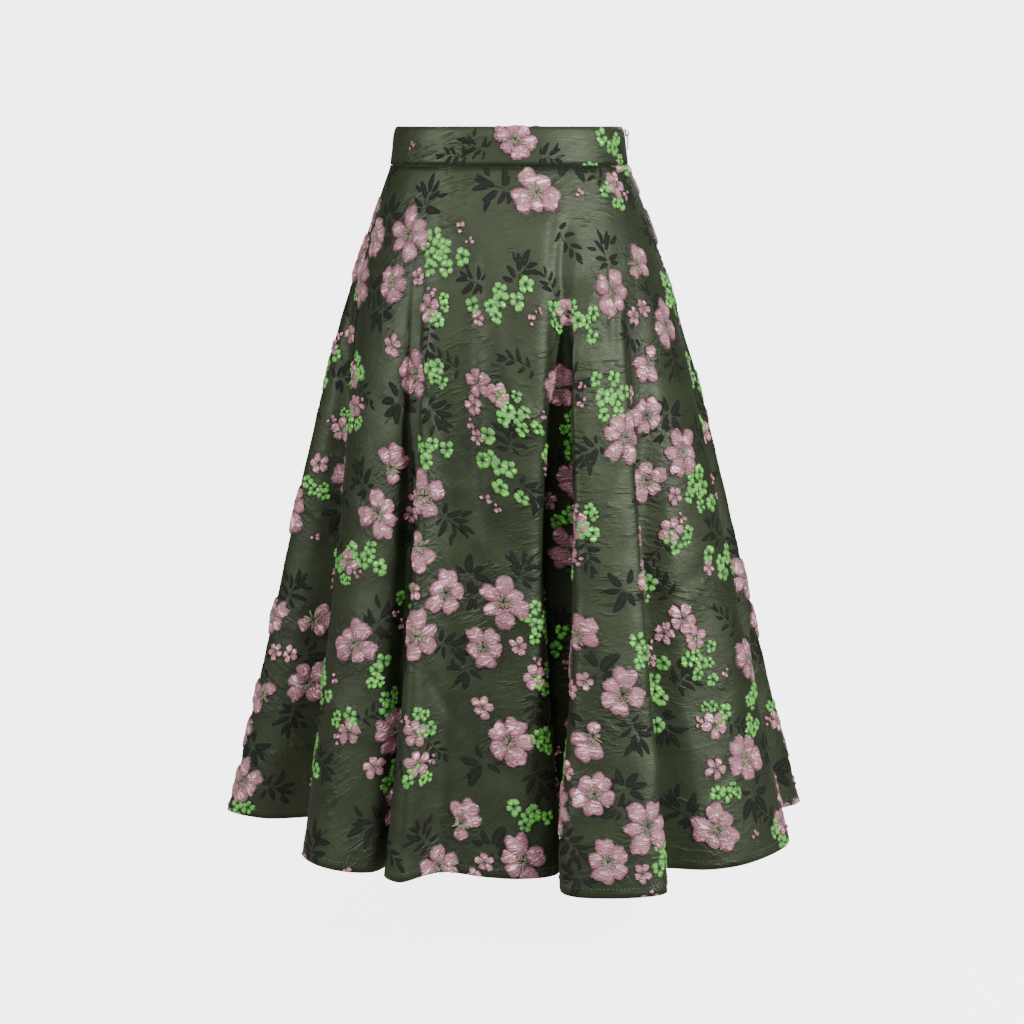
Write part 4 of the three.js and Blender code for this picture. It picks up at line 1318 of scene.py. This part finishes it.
def make_zip_tape(colour):
    """The two tapes, one on each side of the seam, joined in one piece."""
    away = np.linspace(TAPE_APART, TAPE_WIDTH, 6)
    sides = [zip_side("front", away)[::-1], zip_side("back", away)]
    columns, rows = sides[0].shape[:2]
    faces = grid_faces(columns, rows)
    faces = np.concatenate([faces, faces + columns * rows]).tolist()
    tape = add_mesh("zip_tape_cloth", np.concatenate(sides), faces)
    thicken(tape, TAPE_CLOTH)
    return put(tape, "tape", colour, colour, stands_for=("zip_tape",))


def make_zip_coil(colour):
    """The coil between the tapes: a helix about the seam's inner line."""
    line = (zip_side("front", np.zeros(1)) + zip_side("back", np.zeros(1)))[0] / 2
    fall = np.concatenate([[0], np.cumsum(np.linalg.norm(np.diff(line, axis=0), axis=1))])
    at = np.linspace(0, fall[-1], int(fall[-1] / COIL_PITCH * COIL_STEPS))
    core = np.stack([np.interp(at, fall, line[:, i]) for i in range(3)], 1)
    core[:, 0] -= COIL_INSIDE
    swing = 2 * np.pi * at / COIL_PITCH
    core[:, 1] += COIL_HALF_WIDTH * np.cos(swing)
    core[:, 0] += COIL_HALF_DEPTH * np.sin(swing)
    return put(tube_mesh("zip_coil", core, COIL_WIRE, 5), "tape", colour)


def make_lamp(name, size, energy, place, aim, colour):
    """A soft area lamp at place, turned to face aim."""
    lamp = bpy.data.lights.new(name, "AREA")
    lamp.shape = "RECTANGLE"
    lamp.size, lamp.size_y = size
    lamp.energy = energy
    lamp.color = colour
    thing = bpy.data.objects.new(name, lamp)
    thing.location = place
    thing.rotation_mode = "QUATERNION"
    thing.rotation_quaternion = (Vector(aim) - Vector(place)).to_track_quat("-Z", "Y")
    bpy.context.scene.collection.objects.link(thing)
    return thing


# Lamps: size across and up, watts, place, what it faces, colour
LAMPS = {
    "key": ((0.4, 0.4), 80.0, (-0.2, -2.9, 1.9), (0, 0, -0.45), (1.0, 0.99, 0.97)),
    "right": ((0.4, 0.6), 160.0, (2.3, -1.6, 0.9), (0, 0, -0.45), (1.0, 1.0, 1.0)),
    "left": ((0.4, 0.6), 100.0, (-2.4, -1.4, 0.9), (0, 0, -0.45), (1.0, 1.0, 1.0)),
    "top": ((1.6, 1.6), 12.0, (0.1, 0.2, 2.0), (0, 0, 0), (1.0, 1.0, 1.0)),
    "back": ((2.4, 1.6), 60.0, (0.4, 2.6, 1.2), (0, 0, -0.3), (1.0, 1.0, 1.0)),
}
SKY_SEEN = 4.7
SKY_LIGHT = 0.015
FLOOR_GLOW = 4.3
FLOOR_RADIUS = 2.6
FLOOR_GRID = (12, 96)     # rings and sides
CAMERA_PLACE = (0.003, -2.0, 0.020)
CAMERA_PITCH = 11.74
CAMERA_LENS = 65.39


def make_studio(sizes):
    """Floor, pale world, lamps and the camera."""
    rings, sides = FLOOR_GRID
    ring = np.linspace(0, 2 * np.pi, sides, endpoint=False)
    reach = np.linspace(0, FLOOR_RADIUS / MM, rings)[1:]
    plan = np.stack([np.outer(reach, np.cos(ring)), np.outer(reach, np.sin(ring))], 2).reshape(-1, 2)
    points = np.pad(np.concatenate([np.zeros((1, 2)), plan]), ((0, 0), (0, 1)),
                    constant_values=-sizes.floor / MM)
    fan, quads = disc_faces(rings - 1, sides)
    floor = add_mesh("studio_floor", points, fan.tolist() + quads.tolist())
    floor.data.materials.append(floor_paper("studio_paper"))
    world = bpy.data.worlds.new("studio_world")
    bpy.context.scene.world = world
    world.use_nodes = True
    w = Wiring(world.node_tree)
    seen = w.node("ShaderNodeLightPath").outputs["Is Camera Ray"]
    strength = w.math("MULTIPLY_ADD", seen, SKY_SEEN - SKY_LIGHT, SKY_LIGHT)
    w.fill(w.tree.nodes["Background"], {"Strength": strength, "Color": (1, 1, 1, 1)})
    for name, row in LAMPS.items():
        make_lamp("studio_" + name, *row)
    camera = bpy.data.objects.new("studio_camera", bpy.data.cameras.new("studio_camera"))
    camera.data.lens = CAMERA_LENS
    camera.location = CAMERA_PLACE
    camera.rotation_euler = (np.radians(90 - CAMERA_PITCH), 0, 0)
    bpy.context.scene.collection.objects.link(camera)
    bpy.context.scene.camera = camera


def declare_sheets():
    """Works out each skirt panel's flat box and area and the names of the pieces on it, and keeps none of
    them.
    """
    worked = ["_blossoms", "_hearts", "_greens", "_leaves"]
    for side in ("front", "back"):
        key, band = "skirt_" + side, "waistband_" + side
        on_it = [key + word for word in ["_hem", "_stitches"] + worked]
        on_it += ["side_seams"] if side == "front" else []
        [size * MM for size in PANELS[key].flat_box()]
        PANELS[key].flat_area() * MM * MM


# Operators


class MakeCloth(bpy.types.Operator):
    """Makes the front and back cloth of the skirt"""
    bl_idname = "skirt.cloth"
    bl_label = "Skirt cloth"

    def execute(self, context):
        sizes, colours = context.scene.skirt_sizes, context.scene.skirt_colours
        outside = satin("ground_satin", colours.ground)
        inside = lining("satin_reverse", colours.inside)
        for key in GRIDS:
            make_skirt_cloth(key, sizes, outside, inside)
        make_side_seams(sizes, inside)
        return {"FINISHED"}


class MakeWaistband(bpy.types.Operator):
    """Makes the two halves of the folded waistband"""
    bl_idname = "skirt.waistband"
    bl_label = "Waistband"

    def execute(self, context):
        sizes = context.scene.skirt_sizes
        for key in ("waistband_front", "waistband_back"):
            make_waistband(key, sizes, bpy.data.materials["ground_satin"])
        return {"FINISHED"}


class MakeHem(bpy.types.Operator):
    """Makes the turned hems and their stitches"""
    bl_idname = "skirt.hem"
    bl_label = "Hem"

    def execute(self, context):
        sizes, colours = context.scene.skirt_sizes, context.scene.skirt_colours
        colour = thread("hem_thread", colours.thread, scaled(colours.thread, 0.4))
        for key in GRIDS:
            make_hem(key, sizes, bpy.data.materials["satin_reverse"])
            make_stitches(key, sizes, colour)
        return {"FINISHED"}


class MakeBlossoms(bpy.types.Operator):
    """Makes the puffed blossoms and their stitched hearts"""
    bl_idname = "skirt.blossoms"
    bl_label = "Blossoms"

    def execute(self, context):
        colours = context.scene.skirt_colours
        # The petals get a painted highlight on their crowns and painted shade from pink_deep.
        petal = puffed("puffed_petal", colours.pink, 2.3, tuple(colours.pink_deep),
                       scaled(colours.heart, 0.1), 1.2, 0.8)
        heart = thread("heart_thread", tuple(colours.heart), scaled(colours.heart, 0.25))
        for key in PANELS:
            make_pads(key, "_blossoms", PETAL_RINGS, PETAL_SIDES, 0.16, petal)
            make_pads(key, "_hearts", STITCH_RINGS, STITCH_SIDES, 0.0, heart)
        return {"FINISHED"}


class MakeGreens(bpy.types.Operator):
    """Makes the small puffed green blossoms"""
    bl_idname = "skirt.greens"
    bl_label = "Green blossoms"

    def execute(self, context):
        colours = context.scene.skirt_colours
        deep = tuple(colours.green_deep)
        # The green lobes get a painted highlight on their crowns and painted shade from green_deep.
        lobe = puffed("puffed_green", colours.green, 1.6, deep, scaled(deep, 0.5), 0.6, 0.6)
        for key in PANELS:
            make_pads(key, "_greens", LOBE_RINGS, LOBE_SIDES, 0.06, lobe)
        return {"FINISHED"}


class MakeLeaves(bpy.types.Operator):
    """Makes the flat leaves and stems"""
    bl_idname = "skirt.leaves"
    bl_label = "Leaves"

    def execute(self, context):
        colours = context.scene.skirt_colours
        cloth = leaf_cloth("leaf_weave", colours.leaf)
        for key in PANELS:
            make_leaves(key, cloth)
        return {"FINISHED"}


class MakeZip(bpy.types.Operator):
    """Makes the zip's tapes and coil, and paints its slider and pull"""
    bl_idname = "skirt.zip"
    bl_label = "Zip"

    def execute(self, context):
        colours = context.scene.skirt_colours
        make_zip_tape(thread("tape_weave", colours.tape, scaled(colours.tape, 0.5)))
        make_zip_coil(thread("coil_nylon", colours.tape, scaled(colours.tape, 0.6)))
        metal = zip_metal("slider_metal", colours.metal)
        for name in ("zip_slider", "zip_pull"):
            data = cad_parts[name].data
            data.materials.clear()
            data.materials.append(metal)
        return {"FINISHED"}


class MakeStudio(bpy.types.Operator):
    """Makes the floor, world, lamps and camera"""
    bl_idname = "skirt.studio"
    bl_label = "Studio"

    def execute(self, context):
        sizes = context.scene.skirt_sizes
        make_studio(sizes)
        return {"FINISHED"}


OPERATORS = (MakeCloth, MakeWaistband, MakeHem, MakeBlossoms, MakeGreens, MakeLeaves, MakeZip,
             MakeStudio)


class SkirtPanel(bpy.types.Panel):
    """Lists the makers with the sizes and colours that they use."""
    bl_idname = "VIEW3D_PT_skirt"
    bl_label = "Circle skirt"
    bl_space_type = "VIEW_3D"
    bl_region_type = "UI"
    bl_category = "Skirt"

    def draw(self, context):
        for group_of in (context.scene.skirt_sizes, context.scene.skirt_colours):
            column = self.layout.column(align=True)
            for key in group_of.__annotations__:
                column.prop(group_of, key)
        for operator in OPERATORS:
            self.layout.operator(operator.bl_idname)


CLASSES = (SkirtSizes, SkirtColours) + OPERATORS + (SkirtPanel,)


def register():
    for one in CLASSES:
        bpy.utils.register_class(one)
    bpy.types.Scene.skirt_sizes = bpy.props.PointerProperty(type=SkirtSizes)
    bpy.types.Scene.skirt_colours = bpy.props.PointerProperty(type=SkirtColours)


def unregister():
    del bpy.types.Scene.skirt_colours
    del bpy.types.Scene.skirt_sizes
    for one in reversed(CLASSES):
        bpy.utils.unregister_class(one)


def main():
    register()
    for make in (make_weave_group, make_crinkle_group, make_wisps_group, make_crepe_group):
        make()
    for operator in OPERATORS:
        space, name = operator.bl_idname.split(".")
        getattr(getattr(bpy.ops, space), name)()
    declare_sheets()


if __name__ == "__main__":
    main()
